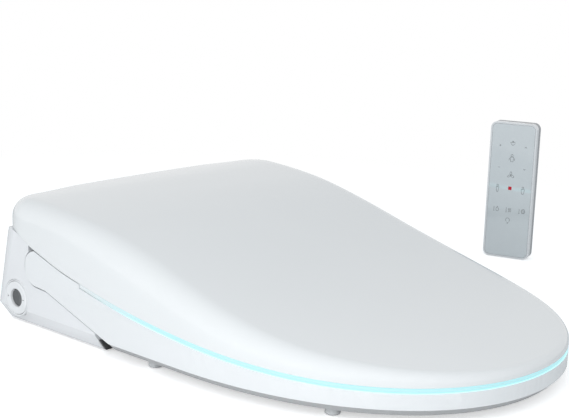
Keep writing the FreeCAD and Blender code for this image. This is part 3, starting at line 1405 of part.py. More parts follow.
def fan_wheel(name, axis, low, height, radius, shaft_radius, shaft_length, count):
    """A bladed drum wheel on a disc, with its shaft standing up into the motor."""
    body = new_body(name + "_blades")
    x, y = float(axis[0]), float(axis[1])
    pad(body, "XY", [Part.Circle(point(x, y), Vector(0, 0, 1), float(radius))], s.blade_thickness, low)
    blades = []
    outer = float(radius) - float(s.blade_thickness)
    inner = outer - float(s.blade_depth)
    half = float(s.blade_thickness) / 2
    for i in range(count):
        turn = 2 * math.pi * i / count
        out = Vector(math.cos(turn), math.sin(turn), 0)
        across = Vector(-math.sin(turn), math.cos(turn), 0)
        middle = Vector(x, y, 0)
        blades += lines(middle + out * inner - across * half, middle + out * outer - across * half,
                        middle + out * outer + across * half, middle + out * inner + across * half)
    pad(body, "XY", blades, height - s.blade_thickness, low + s.blade_thickness)
    hub = cylinder(name + "_hub", shaft_radius * 2, (*axis, low), height)
    shaft = cylinder(name + "_shaft", shaft_radius, (*axis, low), shaft_length)
    return node(fuse(name, body, hub, shaft))


def fan_motor(name, axis, low, radius, height, shaft_radius, depth):
    bar = cylinder(name + "_bar", radius, (*axis, low), height)
    hole = cylinder(name + "_bore", shaft_radius + s.pin_gap, (*axis, low - s.overrun), s.overrun + depth)
    return node(cut(name, bar, hole))


wheel_low = s.blower_low + s.duct_wall * 2
wheel_height = s.blower_high - s.blower_low - s.duct_wall * 4
blower_motor_low = s.blower_high + s.running_gap
fan_wheel("blower_wheel", blower_axis, wheel_low, wheel_height, s.blower_wheel_radius, s.blower_shaft_radius,
          blower_motor_low + s.motor_bearing_depth * 2 - wheel_low, int(SIZES["blower_blades"]))
fan_motor("blower_motor", blower_axis, blower_motor_low, s.blower_motor_radius, s.blower_motor_height,
          s.blower_shaft_radius, s.motor_bearing_depth * 2 + s.running_gap)

# Deodorizer: grille duct, fan, and the duct back to the filter drawer
fan_axis = ((s.fan_inner_offset + s.fan_outer_offset) / 2, -(s.fan_front_reach + s.fan_rear_reach) / 2)
grille_duct_low = (s.grille_offset - s.grille_half_width - s.duct_wall, duct_front, s.grille_low - s.duct_wall)
grille_duct_high = (s.fan_inner_offset - s.running_gap, fan_axis[1] + s.duct_wall * 2, s.grille_high + s.duct_wall)
duct_box = shell_box("deodorizer_duct_shell", grille_duct_low, grille_duct_high, s.duct_wall, (), (0,))
duct_mouth = box("deodorizer_duct_mouth", (s.grille_offset - s.grille_half_width, duct_front - s.overrun, s.grille_low),
                 (s.grille_offset + s.grille_half_width, fan_axis[1], s.grille_high))
node(cut("deodorizer_duct", duct_box, duct_mouth))
fan_shell = shell_box("deodorizer_shell", (s.fan_inner_offset, -s.fan_front_reach, s.fan_low),
                      (s.fan_outer_offset, -s.fan_rear_reach, s.fan_high), s.duct_wall)
fan_foot = cylinder("deodorizer_foot", s.fan_motor_radius, (*fan_axis, tray_low + s.tray_floor + s.running_gap),
                    s.fan_low - tray_low - s.tray_floor)
fan_mouth = box("deodorizer_mouth", (s.fan_inner_offset - s.overrun, -(s.fan_front_reach - s.duct_wall), s.grille_low),
                (s.fan_inner_offset + s.overrun / 4, fan_axis[1] - s.duct_wall, s.grille_high))
filter_duct_low = (s.filter_inner_offset, -s.fan_rear_reach + s.running_gap, s.grille_high)
filter_duct_high = (s.fan_outer_offset - s.duct_wall, s.filter_front - s.filter_gap, s.filter_high)
fan_exit = box("deodorizer_exit", (filter_duct_low[0] + s.duct_wall, -s.fan_rear_reach - s.overrun / 4,
                                   filter_duct_low[2] + s.duct_wall),
               (filter_duct_high[0] - s.duct_wall, s.overrun, filter_duct_high[2] - s.duct_wall))
fan_hole = cylinder("deodorizer_shaft_hole", s.blower_shaft_radius + s.running_gap, (*fan_axis, s.fan_low
                                                                                    + s.duct_wall), s.fan_high)
node(cut("deodorizer_housing", fuse("deodorizer_blank", fan_shell, fan_foot), fan_mouth, fan_exit, fan_hole))
fan_wheel_low = s.fan_low + s.duct_wall * 2
fan_motor_low = s.fan_high + s.running_gap
fan_wheel("deodorizer_wheel", fan_axis, fan_wheel_low, s.fan_wheel_height, s.fan_wheel_radius, s.blower_shaft_radius,
          fan_motor_low + s.motor_bearing_depth * 2 - fan_wheel_low, int(SIZES["blower_blades"]))
fan_motor("deodorizer_motor", fan_axis, fan_motor_low, s.fan_motor_radius, s.fan_motor_height,
          s.blower_shaft_radius, s.motor_bearing_depth * 2 + s.running_gap)

# Filter drawer: a sleeve through the housing and the cheek, and the cartridge that slides out to the right
sleeve_low = tuple(a - sleeve_out for a in filter_low)
sleeve_high = (s.base_half_width - s.base_wall - s.running_gap, s.filter_rear + sleeve_out,
               s.filter_high + sleeve_out)
sleeve = box("sleeve_blank", sleeve_low, sleeve_high)
filter_duct = box("filter_duct", filter_duct_low, filter_duct_high)
node(cut("filter_sleeve", fuse("sleeve_with_duct", sleeve, filter_duct), filter_hole, fan_exit))
cartridge = common("cartridge_blank", box("cartridge_bar", filter_low, filter_high), base_outer)
grip = cylinder("cartridge_grip", s.fan_motor_radius, (s.base_half_width + s.grip_offset,
                                                       (s.filter_front + s.filter_rear) / 2, s.filter_low),
                s.filter_high - s.filter_low)
node(cut("filter_cartridge", cartridge, grip))

# Water path: inlet stub in its cup, inlet valve, heater tank, pump, distributor and hoses
cup_rear = s.base_rear_reach - s.base_wall
cup_front = s.base_rear_reach - s.base_wall - s.inlet_cup_depth
cup_low = (s.inlet_offset - s.inlet_cup_half + s.running_gap, cup_front, s.inlet_height - s.inlet_cup_half)
cup_high = (s.inlet_offset + s.inlet_cup_half - s.running_gap, cup_rear, s.inlet_height + s.inlet_cup_half)
cup_form = base_form("cup_trim", s.base_wall + s.running_gap, base_front_reach)
cup = common("inlet_cup_trimmed", shell_box("inlet_cup", cup_low, cup_high, s.inlet_cup_wall, (), (1,)), cup_form)
stub = cylinder("inlet_stub", s.inlet_radius, (s.inlet_offset, cup_front + s.inlet_cup_wall / 2, s.inlet_height),
                s.inlet_length + s.inlet_cup_wall * 2, "y")
stub_bore = cylinder("inlet_bore", s.inlet_bore, (s.inlet_offset, cup_front + s.inlet_cup_wall * 2, s.inlet_height),
                     s.inlet_length + s.overrun, "y")
node(cut("inlet_fitting", fuse("inlet_blank", cup, stub), stub_bore))
valve_rear = cup_front - s.running_gap
valve_low = (s.valve_offset - s.valve_half_width, valve_rear - s.valve_depth, tray_low + s.tray_floor + s.running_gap)
valve_body = box("valve_body", valve_low, (s.valve_offset + s.valve_half_width, valve_rear,
                                           valve_low[2] + s.valve_height))
valve_coil = cylinder("valve_coil", s.valve_half_width - s.running_gap, (s.valve_offset, valve_low[1]
                                                                         + s.valve_half_width, valve_low[2]),
                      s.valve_height + s.valve_half_width)
node(fuse("inlet_valve", valve_body, valve_coil))
tank_low = pocket_top + s.running_gap
tank = box("tank_body", (s.tank_low_offset, -s.tank_front, tank_low), (s.tank_high_offset, s.tank_rear,
                                                                      tank_low + s.tank_height))
tank_neck = cylinder("tank_neck", s.hose_radius * 2, ((s.tank_low_offset + s.tank_high_offset) / 2, ZERO, tank_low),
                     s.tank_height + s.hose_radius)
node(fuse("water_heater_tank", tank, tank_neck))
pump_axis = (s.pump_rear, tank_low + s.pump_radius)
pump_bar = cylinder("pump_bar", s.pump_radius, (-s.pump_offset, *pump_axis), s.pump_length, "x")
pump_foot = box("pump_foot", (-s.pump_offset + s.hose_radius, s.pump_rear - s.pump_radius + s.hose_radius, tank_low),
                (-s.pump_offset + s.pump_length - s.hose_radius, s.pump_rear + s.pump_radius - s.hose_radius,
                 pump_axis[1]))
node(fuse("water_pump", pump_bar, pump_foot))
node(box("flow_distributor", (s.distributor_low_offset, -s.distributor_half_depth, tank_low),
         (s.distributor_low_offset + s.distributor_width, s.distributor_half_depth, tank_low + s.distributor_height)))


def hose(name, *corners):
    """Straight runs with round elbows between corners that differ along one axis at a time."""
    pieces = []
    for i, (a, b) in enumerate(zip(corners[:-1], corners[1:])):
        axis = max(range(3), key=lambda k: abs(float(b[k]) - float(a[k])))
        low, high = (a, b) if float(b[axis]) > float(a[axis]) else (b, a)
        pieces.append(cylinder(f"{name}_run_{i}", s.hose_radius, low, high[axis] - low[axis], "xyz"[axis]))
    for i, corner in enumerate(corners[1:-1]):
        elbow = doc.addObject("Part::Sphere", f"{name}_elbow_{i}")
        bind(elbow, "Radius", s.hose_radius)
        place(elbow, *corner)
        pieces.append(elbow)
    return pieces


distributor_x = s.distributor_low_offset + s.distributor_width / 2
distributor_top = tank_low + s.distributor_height + s.running_gap
feed_y = s.feed_block_y
feed_z = s.feed_block_z
cross_z = pump_axis[1]
supply_z = valve_low[2] + s.valve_height + s.valve_half_width + s.running_gap
supply_y = valve_low[1] + s.valve_half_width
supply_high = supply_z + s.valve_half_width
cold = hose("cold_hose", (s.valve_offset, supply_y, supply_z), (s.valve_offset, supply_y, supply_high),
            (s.tank_high_offset + s.running_gap, supply_y, supply_high))
warm = hose("warm_hose", (s.distributor_low_offset + s.distributor_width + s.running_gap, ZERO, cross_z),
            (s.tank_low_offset - s.running_gap, ZERO, cross_z))
spray = hose("spray_hose", (distributor_x, ZERO, distributor_top), (distributor_x, ZERO, feed_z),
             (distributor_x, feed_y, feed_z), (feed_half + s.running_gap, feed_y, feed_z))
air = hose("air_hose", (-s.pump_offset + s.pump_length + s.running_gap, s.air_hose_y, cross_z),
           (distributor_x, s.air_hose_y, cross_z),
           (distributor_x, s.distributor_half_depth + s.running_gap, cross_z))
node(fuse("water_hoses", *cold, *warm, *spray, *air))

# Electronics: control board on four posts, its larger parts, and the gland for the mains cord
board_low = (s.board_low_offset, -s.board_front, s.board_height + s.running_gap)
board_top = board_low[2] + s.board_thickness
node(box("main_board", board_low, (s.board_high_offset, s.board_rear, board_top)))
part_z = board_top + s.running_gap
transformer = box("power_transformer", (s.tank_low_offset, -s.board_front + s.board_post_inset, part_z),
                  (s.tank_low_offset + s.transformer_length,
                   -s.board_front + s.board_post_inset + s.transformer_depth, part_z + s.transformer_height))
relays = []
for i in range(3):
    relay_x = s.tank_low_offset + (s.relay_length + s.board_post_inset) * i
    relays.append(box(f"relay_{i}", (relay_x, s.board_post_inset * 2, part_z),
                      (relay_x + s.relay_length, s.board_post_inset * 2 + s.relay_depth, part_z + s.relay_height)))
node(fuse("board_components", transformer, *relays))
gland_y = s.base_rear_reach - s.gland_reach
gland_flange = cylinder("gland_flange", s.gland_flange_radius, (s.gland_offset, gland_y, s.inlet_height),
                        s.base_wall, "y")
gland_barrel = cylinder("gland_barrel", s.gland_radius, (s.gland_offset, gland_y, s.inlet_height),
                        s.gland_length, "y")
gland_bore = cylinder("gland_bore", s.gland_bore, (s.gland_offset, gland_y - s.overrun, s.inlet_height),
                      s.overrun * 3, "y")
node(cut("cord_gland", fuse("gland_blank", gland_flange, gland_barrel), gland_bore))

# Control knob on the left cheek: bezel, turning ring, push dial, encoder
knob_y = s.knob_reach
knob_z = s.knob_height


def on_knob(name, radius, face, depth):
    return cylinder(name, radius, (-face, knob_y, knob_z), depth, "x")


bezel_blank = on_knob("bezel_blank", s.bezel_radius, s.bezel_face, s.bezel_depth)
bezel_room = on_knob("bezel_room", s.bezel_radius - s.bezel_wall, s.bezel_face + s.overrun,
                     s.bezel_depth + s.overrun - s.bezel_wall)
hub_hole = on_knob("bezel_hub_hole", s.knob_hub_radius + s.running_gap, s.bezel_face, s.bezel_depth + s.overrun)
node(cut("knob_bezel", bezel_blank, bezel_room, hub_hole))
ring_back = s.knob_face - s.knob_depth
hub_end = s.housing_half_width + s.encoder_depth + s.running_gap * 3
ring_blank = on_knob("ring_blank", s.bezel_radius - s.bezel_wall - s.running_gap, s.knob_face, s.knob_depth)
ring_hub = on_knob("ring_hub", s.knob_hub_radius, ring_back + s.knob_web, ring_back + s.knob_web - hub_end)
dial_room = on_knob("dial_room", s.dial_radius + s.running_gap, s.knob_face + s.overrun,
                    s.overrun + s.knob_depth - s.knob_web)
plunger_room = on_knob("plunger_room", s.plunger_radius + s.running_gap, s.knob_face, s.knob_face - hub_end + s.overrun)
node(cut("knob_ring", fuse("ring_with_hub", ring_blank, ring_hub), dial_room, plunger_room))
dial_back = s.dial_face - s.dial_depth
plunger_end = hub_end + s.dial_rim
node(fuse("knob_button", on_knob("dial_disc", s.dial_radius, s.dial_face, s.dial_depth),
          on_knob("dial_plunger", s.plunger_radius, dial_back + s.dial_rim, dial_back + s.dial_rim - plunger_end)))
encoder_x = s.housing_half_width + s.running_gap
node(box("knob_encoder", (-(encoder_x + s.encoder_depth), knob_y - s.encoder_half, knob_z - s.encoder_half),
         (-encoder_x, knob_y + s.encoder_half, knob_z + s.encoder_half)))

# Remote control, drawn upright and facing -Y, then turned to face the photo's viewer
remote_place = Placement(Vector(float(s.remote_x), -float(s.remote_y), 0),
                         Rotation(Vector(0, 0, 1), -float(s.remote_turn)))


def slab(name, inset, corner, front, back):
    """An upright plate with round corners, between two depths."""
    half = s.remote_width / 2 - inset
    low = ZERO + inset
    high = s.remote_height - inset
    pieces = [
        box(name + "_tall", (-(half - corner), front, low), (half - corner, back, high)),
        box(name + "_wide", (-half, front, low + corner), (half, back, high - corner)),
    ]
    for side in (1, -1):
        for z, end in ((low + corner, "low"), (high - corner, "high")):
            pieces.append(cylinder(f"{name}_corner_{end}_{len(pieces)}", corner, (side * (half - corner), front, z),
                                   back - front, "y"))
    return fuse(name, *pieces)


def stand(thing):
    thing.Placement = remote_place.multiply(thing.Placement)
    return node(thing)


half_depth = s.remote_depth / 2
face_y = -half_depth
glass_back = face_y + s.glass_thickness
frame_outer = slab("remote_frame_outer", ZERO, s.remote_corner, face_y, -s.remote_split)
glass_room = slab("remote_glass_room", s.glass_inset - s.remote_gap, s.glass_corner, face_y - s.overrun,
                  glass_back + s.remote_gap)
frame_room = slab("remote_frame_room", s.glass_inset + s.remote_wall, s.glass_corner - s.remote_wall, face_y, s.overrun)
ir_low = (s.remote_width / 2 - s.remote_corner - s.ir_width, face_y + s.remote_wall,
          s.remote_height - s.ir_thickness)
ir_high = (ir_low[0] + s.ir_width, ir_low[1] + s.ir_height - s.remote_wall, s.remote_height)
ir_room = box("remote_ir_room", tuple(a - s.remote_gap for a in ir_low), (ir_high[0] + s.remote_gap,
                                                                        ir_high[1] + s.remote_gap,
                                                                        ir_high[2] + s.overrun))
stand(cut("remote_front_frame", frame_outer, glass_room, frame_room, ir_room))
stand(slab("remote_glass", s.glass_inset, s.glass_corner, face_y, glass_back))
stand(fuse("remote_ir_window", box("ir_block", ir_low, ir_high),
           box("ir_foot", (ir_low[0] + s.remote_wall, ir_low[1] + s.remote_gap, ir_low[2]),
               (ir_high[0] - s.remote_wall, ir_high[1] - s.remote_gap, ir_high[2] - s.remote_gap))))

cover_half = s.battery_cover_width / 2
cover_low = s.battery_cover_foot
cover_high = s.battery_cover_foot + s.battery_cover_length
track_front = half_depth - s.remote_wall - s.remote_wall
back_outer = slab("remote_back_outer", ZERO, s.remote_corner, -s.remote_split + s.running_gap, half_depth)
back_room = slab("remote_back_room", s.remote_wall, s.remote_corner - s.remote_wall, -s.overrun,
                 half_depth - s.remote_wall)
back_skin = cut("remote_back_skin", back_outer, back_room)
track_pad = box("remote_track_pad", (-(cover_half + s.remote_wall), track_front, cover_high - s.remote_wall),
                (cover_half + s.remote_wall, half_depth,
                 cover_high + s.battery_cover_travel + s.remote_wall * 2))
battery_door = box("remote_battery_door", (-cover_half, ZERO, cover_low),
                   (cover_half, half_depth + s.overrun, cover_high))
track = box("remote_track", (-cover_half, half_depth - s.remote_wall + s.remote_gap, cover_low),
            (cover_half, half_depth + s.overrun, cover_high + s.battery_cover_travel + s.running_gap))
stand(cut("remote_back_shell", fuse("remote_back_blank", back_skin, track_pad), battery_door, track))
cover_leaf = box("battery_cover_leaf", (-(cover_half - s.running_gap), half_depth - s.glass_thickness,
                                        cover_low + s.running_gap),
                 (cover_half - s.running_gap, half_depth, cover_high - s.running_gap))
cover_grip = cylinder("battery_cover_grip", s.battery_radius, (-(cover_half / 2), half_depth + s.glass_corner * 0.7,
                                                               cover_high - s.battery_cover_travel), cover_half, "x")
stand(cut("remote_battery_cover", cover_leaf, cover_grip))
cells = [cylinder(f"battery_{i}", s.battery_radius, (side * s.battery_spread, s.remote_split, s.battery_foot),
                  s.battery_length) for i, side in enumerate((1, -1))]
stand(fuse("remote_batteries", *cells))
board_front = -(half_depth - s.remote_wall * 2)
key_board = slab("remote_key_board", s.key_board_inset, s.glass_corner - s.remote_wall,
                 board_front - s.key_board_thickness, board_front)
plates = []
for i, z in enumerate((s.battery_foot - s.contact_thickness - s.running_gap,
                       s.battery_foot + s.battery_length + s.running_gap)):
    plates.append(box(f"contact_{i}", (-(s.battery_spread + s.battery_radius), -(s.battery_radius - s.remote_wall), z),
                      (s.battery_spread + s.battery_radius, s.battery_radius, z + s.contact_thickness)))
stand(fuse("remote_board", key_board, *plates))

doc.recompute()
for thing in doc.Objects:
    if "Invalid" in thing.State or "Error" in thing.State:
        raise RuntimeError(f"{thing.Name} did not build: {thing.State}")
for thing in nodes:
    if thing.Shape.isNull() or not thing.Shape.isValid():
        raise RuntimeError(f"{thing.Name} has no valid shape")

os.makedirs("parts", exist_ok=True)
for thing in nodes:
    thing.Label = thing.Name
    thing.Shape.exportStep(f"parts/{thing.Name}.step")
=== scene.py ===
import math

import bmesh
import bpy
import numpy as np
from mathutils import Matrix, Vector


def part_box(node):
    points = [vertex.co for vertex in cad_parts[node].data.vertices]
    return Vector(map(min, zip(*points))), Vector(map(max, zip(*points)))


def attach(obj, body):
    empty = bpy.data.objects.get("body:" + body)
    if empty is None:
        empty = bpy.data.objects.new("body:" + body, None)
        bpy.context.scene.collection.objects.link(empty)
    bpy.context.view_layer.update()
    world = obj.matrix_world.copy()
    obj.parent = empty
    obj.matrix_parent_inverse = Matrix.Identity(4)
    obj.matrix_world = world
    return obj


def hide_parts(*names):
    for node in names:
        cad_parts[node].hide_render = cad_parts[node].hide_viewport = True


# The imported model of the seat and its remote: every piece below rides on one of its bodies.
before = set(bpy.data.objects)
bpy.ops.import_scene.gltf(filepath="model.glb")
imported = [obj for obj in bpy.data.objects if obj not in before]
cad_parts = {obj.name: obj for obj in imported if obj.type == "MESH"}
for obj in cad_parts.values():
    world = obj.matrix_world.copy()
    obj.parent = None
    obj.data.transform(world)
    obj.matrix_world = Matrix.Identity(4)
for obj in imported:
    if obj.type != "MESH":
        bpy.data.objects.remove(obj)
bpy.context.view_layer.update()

# Short calls that the sections share. Outlines are in millimetres, and MM turns them into Blender's metres.
MM = 0.001
WHITE, BLACK = (1.0, 1.0, 1.0, 1.0), (0.0, 0.0, 0.0, 1.0)
MOULD_GRAIN, LINE_GRAIN = 0.0002, 0.0001


def placed(name, data):
    """A new object in the scene around a mesh, a lamp or a camera."""
    thing = bpy.data.objects.new(name, data)
    bpy.context.scene.collection.objects.link(thing)
    return thing


def add(tree, kind, given=None, **options):
    """A new node. Each given input takes a value, a socket, or a node whose first output feeds it."""
    node = tree.nodes.new(kind)
    for option, value in options.items():
        setattr(node, option, value)
    for socket, value in (given or {}).items():
        if isinstance(value, bpy.types.Node):
            value = value.outputs[0]
        if isinstance(value, bpy.types.NodeSocket):
            tree.links.new(value, node.inputs[socket])
        else:
            node.inputs[socket].default_value = value
    return node


def reckon(tree, operation, *values):
    return add(tree, "ShaderNodeMath", dict(enumerate(values)), operation=operation)


def ranged(tree, value, low, high):
    """Turns a value from 0 to 1 into one from low to high."""
    return add(tree, "ShaderNodeMapRange", {"Value": value, "To Min": low, "To Max": high})


def eased(tree, value, start, end):
    """Turns a value from start to end into one from 0 to 1, with soft ends."""
    return add(tree, "ShaderNodeMapRange", {"Value": value, "From Min": start, "From Max": end},
               interpolation_type="SMOOTHSTEP")


def blend(tree, share, first, second):
    return add(tree, "ShaderNodeMix", {0: share, 6: first, 7: second}, data_type="RGBA").outputs[2]


def own_place(tree):
    return add(tree, "ShaderNodeTexCoord").outputs["Object"]


def noise(tree, place, scale, detail=2.0):
    return add(tree, "ShaderNodeTexNoise", {"Vector": place, "Scale": scale, "Detail": detail}).outputs["Fac"]


def seen_straight(tree, *rays):
    """A mask that is 1 for the named kinds of ray."""
    path = add(tree, "ShaderNodeLightPath")
    mask = path.outputs[rays[0]]
    for ray in rays[1:]:
        mask = reckon(tree, "MAXIMUM", mask, path.outputs[ray])
    return mask


def new_material(name):
    material = bpy.data.materials.new(name)
    material.use_nodes = True
    material.node_tree.nodes.clear()
    return material, material.node_tree


def new_group(name, inputs, outputs, kind="ShaderNodeTree"):
    """A node group with the named kinds of socket, and what its inputs give inside it."""
    group = bpy.data.node_groups.new(name, kind)
    for way, sockets in (("INPUT", inputs), ("OUTPUT", outputs)):
        for label, socket in sockets.items():
            group.interface.new_socket(label, in_out=way, socket_type="NodeSocket" + socket)
    return group, add(group, "NodeGroupInput").outputs


def shade(tree, colour, roughness, height, grain, extra=None):
    """Ends a material: one shader with a fine bump on it. grain is the bump's strength and distance."""
    bump = add(tree, "ShaderNodeBump", {"Height": height, "Strength": grain[0], "Distance": grain[1]})
    given = {"Base Color": colour, "Roughness": roughness, "Normal": bump, **(extra or {})}
    add(tree, "ShaderNodeOutputMaterial", {"Surface": add(tree, "ShaderNodeBsdfPrincipled", given)})


# Camera: a long lens, low at the knob side, turned towards the nose of the seat.
CAMERA_PLACE, CAMERA_AIM, CAMERA_ROLL = (-0.9002, -0.9423, 0.3855), (0.7398, 0.6379, -0.2137), 1.77
SENSOR_WIDTH, LENS, NEAREST, FARTHEST = 36.0, 75.9, 0.05, 30.0


def look_along(place, direction, roll=0.0):
    """A matrix that looks from place along direction, turned by roll degrees."""
    ahead = Vector(direction).normalized()
    right = ahead.cross(Vector((0, 0, 1))).normalized()
    up = right.cross(ahead)
    c, s = math.cos(math.radians(roll)), math.sin(math.radians(roll))
    matrix = Matrix((right * c + up * s, up * c - right * s, -ahead)).transposed().to_4x4()
    matrix.translation = place
    return matrix


camera = placed("camera", bpy.data.cameras.new("camera"))
camera.matrix_world = look_along(CAMERA_PLACE, CAMERA_AIM, CAMERA_ROLL)
camera.data.sensor_width, camera.data.lens = SENSOR_WIDTH, LENS
camera.data.clip_start, camera.data.clip_end = NEAREST, FARTHEST
bpy.context.scene.camera = camera
bpy.context.scene.view_settings.view_transform = "Standard"

# Studio: a white floor that keeps the object's shadow, a white surround in view and in reflections, and two soft
# lamps on the camera's side, one low and one higher. They shade, and don't glint.
ROOM_TINT, ROOM_STRENGTH = (0.92, 0.965, 1.0, 1.0), 0.615
FLOOR_HALF, FLOOR_Z, FLOOR_TINT, FLOOR_GLOW = 6.0, -0.0006, (0.95, 0.95, 0.95, 1.0), 0.5
SHADOWS_FADE_FROM, SHADOWS_END = 0.55, 0.95

world = bpy.data.worlds.new("studio")
bpy.context.scene.world = world
world.use_nodes = True
tree = world.node_tree
tree.nodes.clear()
room = add(tree, "ShaderNodeBackground", {"Color": ROOM_TINT, "Strength": ROOM_STRENGTH})
backdrop = add(tree, "ShaderNodeBackground", {"Color": WHITE, "Strength": 1.0})
straight = seen_straight(tree, "Is Camera Ray", "Is Glossy Ray", "Is Transmission Ray")
mixed = add(tree, "ShaderNodeMixShader", {0: straight, 1: room, 2: backdrop})
add(tree, "ShaderNodeOutputWorld", {"Surface": mixed})

floor_mesh = bpy.data.meshes.new("floor")
floor_corners = [(x * FLOOR_HALF, y * FLOOR_HALF, FLOOR_Z) for x, y in ((-1, -1), (1, -1), (1, 1), (-1, 1))]
floor_mesh.from_pydata(floor_corners, [], [(0, 1, 2, 3)])
floor = placed("floor", floor_mesh)
floor_material, tree = new_material("floor")
matt = add(tree, "ShaderNodeBsdfDiffuse", {"Color": FLOOR_TINT})
glow = add(tree, "ShaderNodeEmission", {"Color": WHITE, "Strength": FLOOR_GLOW})
blank = add(tree, "ShaderNodeEmission", {"Color": WHITE})
distance = add(tree, "ShaderNodeVectorMath", {0: own_place(tree)}, operation="LENGTH").outputs["Value"]
together = add(tree, "ShaderNodeAddShader", {0: matt, 1: glow})
edge = add(tree, "ShaderNodeMixShader",
           {0: eased(tree, distance, SHADOWS_FADE_FROM, SHADOWS_END), 1: together, 2: blank})
seen = add(tree, "ShaderNodeMixShader", {0: seen_straight(tree, "Is Camera Ray"), 1: matt, 2: edge})
add(tree, "ShaderNodeOutputMaterial", {"Surface": seen})
floor_mesh.materials.append(floor_material)


def lamp(name, place, target, size, power, colour):
    light = bpy.data.lights.new(name, "AREA")
    light.shape = "RECTANGLE"
    light.size, light.size_y = size
    light.energy = power
    light.color = colour
    thing = placed(name, light)
    thing.matrix_world = look_along(place, Vector(target) - Vector(place))
    thing.visible_glossy = False


lamp("near_low", (-1.45, -0.35, 0.2), (0, -0.15, 0.05), (1.4, 0.3), 3.4, (1.0, 1.0, 1.0))
lamp("near_high", (-0.62, -0.55, 0.45), (-0.1, -0.2, 0.05), (1.2, 0.5), 2.3, (0.97, 0.985, 1.0))


# Lid: one gloss ABS moulding, its rim turned in as a bead all round and rolled to a barrel at the rear, where it
# turns on the hinge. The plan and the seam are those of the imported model, with the rear corners drawn tighter; its
# shoulder is a wide soft rounding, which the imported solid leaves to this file.
HALF_WIDTH, WIDE_Y, NOSE_Y, REAR_Y = 192.0, -215.0, -470.0, 61.0
CORNER_RADIUS, REAR_BOW, NOSE_FULLNESS = 42.0, 5.0, 0.598
NOSE_STEPS, SIDE_STEPS, CORNER_STEPS, REAR_STEPS = 70, 34, 26, 18
LID_WALL, RIM_LIFT, BARREL_RADIUS, BARREL_HEIGHT = 3.0, 2.0, 10.0, 103.0
LID_NOSE_Z, LID_TOP_Z = 46.0, 130.5
LID_LINE = ((0, 0.985), (0.07, 1), (0.15, 0.975), (0.265, 0.882), (0.40, 0.675), (0.51, 0.464),
            (0.64, 0.245), (0.755, 0.11), (0.87, 0.03), (1, -0.04))
JOIN_Y, SEAM_NOSE_Z, SEAM_JOIN_Z, SEAM_REAR_Z = -75.0, 32.0, 63.0, 100.0
REAR_SEAM = ((0, 1), (0.106, 0.986), (0.297, 0.865), (0.412, 0.649), (0.551, 0.459), (0.779, 0.189), (1, 0))
FRONT_SEAM = ((0, 1), (0.116, 0.70), (0.25, 0.45), (0.42, 0.25), (0.60, 0.09), (0.78, 0.01), (1, 0))
FORWARD = (-1.0, 0.0)
BARREL_STARTS_Y, BARREL_FULL_Y = 38.0, 54.0
SHOULDER, SIDE_SHARE = 27.0, 0.86
SHOULDER_EASE, EASE_STARTS_Y, EASE_FULL_Y = 5.0, -130.0, -40.0
REAR_EASE, REAR_EASE_X, REAR_EASE_ENDS_X = 10.0, 90.0, 150.0
BEAD_SQUARE, BEAD_ROUNDING = 0.42, 0.58
SPINE_FROM_NOSE, SPINE_REAR_Y = 150.0, -60.0
TOP_RINGS, SHOULDER_RINGS, SIDE_RINGS, BEAD_RINGS, UNDER_RINGS = 18, 12, 4, 10, 12


def at_shares(shares, start_y, end_y, low, high):
    """Points (y, z) of a side line, from their shares of its length and height."""
    return np.array([(start_y + (end_y - start_y) * a, low + (high - low) * b) for a, b in shares])


def smooth_line(p, first, last=None):
    """A cubic line through the points p with set end directions, as finely sampled (y, z)."""
    h = np.linalg.norm(np.diff(p, axis=0), axis=1)
    n = len(p)
    system, right = np.zeros((n, n)), np.zeros((n, 2))
    system[0, 0] = system[-1, -1] = 1
    right[0] = first
    right[-1] = last if last is not None else (p[-1] - p[-2]) / h[-1]
    for i in range(1, n - 1):
        system[i, i - 1:i + 2] = 1 / h[i - 1], 2 * (1 / h[i - 1] + 1 / h[i]), 1 / h[i]
        right[i] = 3 * ((p[i] - p[i - 1]) / h[i - 1]**2 + (p[i + 1] - p[i]) / h[i]**2)
    slope = np.linalg.solve(system, right)
    t = np.linspace(0, 1, 200)[:, None]
    runs = [(2 * t**3 - 3 * t**2 + 1) * p[i] + (t**3 - 2 * t**2 + t) * h[i] * slope[i]
            + (3 * t**2 - 2 * t**3) * p[i + 1] + (t**3 - t**2) * h[i] * slope[i + 1] for i in range(n - 1)]
    line = np.vstack(runs)
    return line[np.argsort(line[:, 0])]


def height_at(line, y):
    return float(np.interp(y, line[:, 0], line[:, 1]))


rear_points = at_shares(REAR_SEAM, REAR_Y, JOIN_Y, SEAM_JOIN_Z, SEAM_REAR_Z)
front_points = at_shares(FRONT_SEAM, JOIN_Y, NOSE_Y, SEAM_NOSE_Z, SEAM_JOIN_Z)
seam_slope = front_points[1] - rear_points[-2]
seam_slope /= np.linalg.norm(seam_slope)
seam_line = np.vstack((smooth_line(front_points, seam_slope, FORWARD), smooth_line(rear_points, FORWARD, seam_slope)))
lid_line = smooth_line(at_shares(LID_LINE, REAR_Y, NOSE_Y, LID_NOSE_Z, LID_TOP_Z), FORWARD)


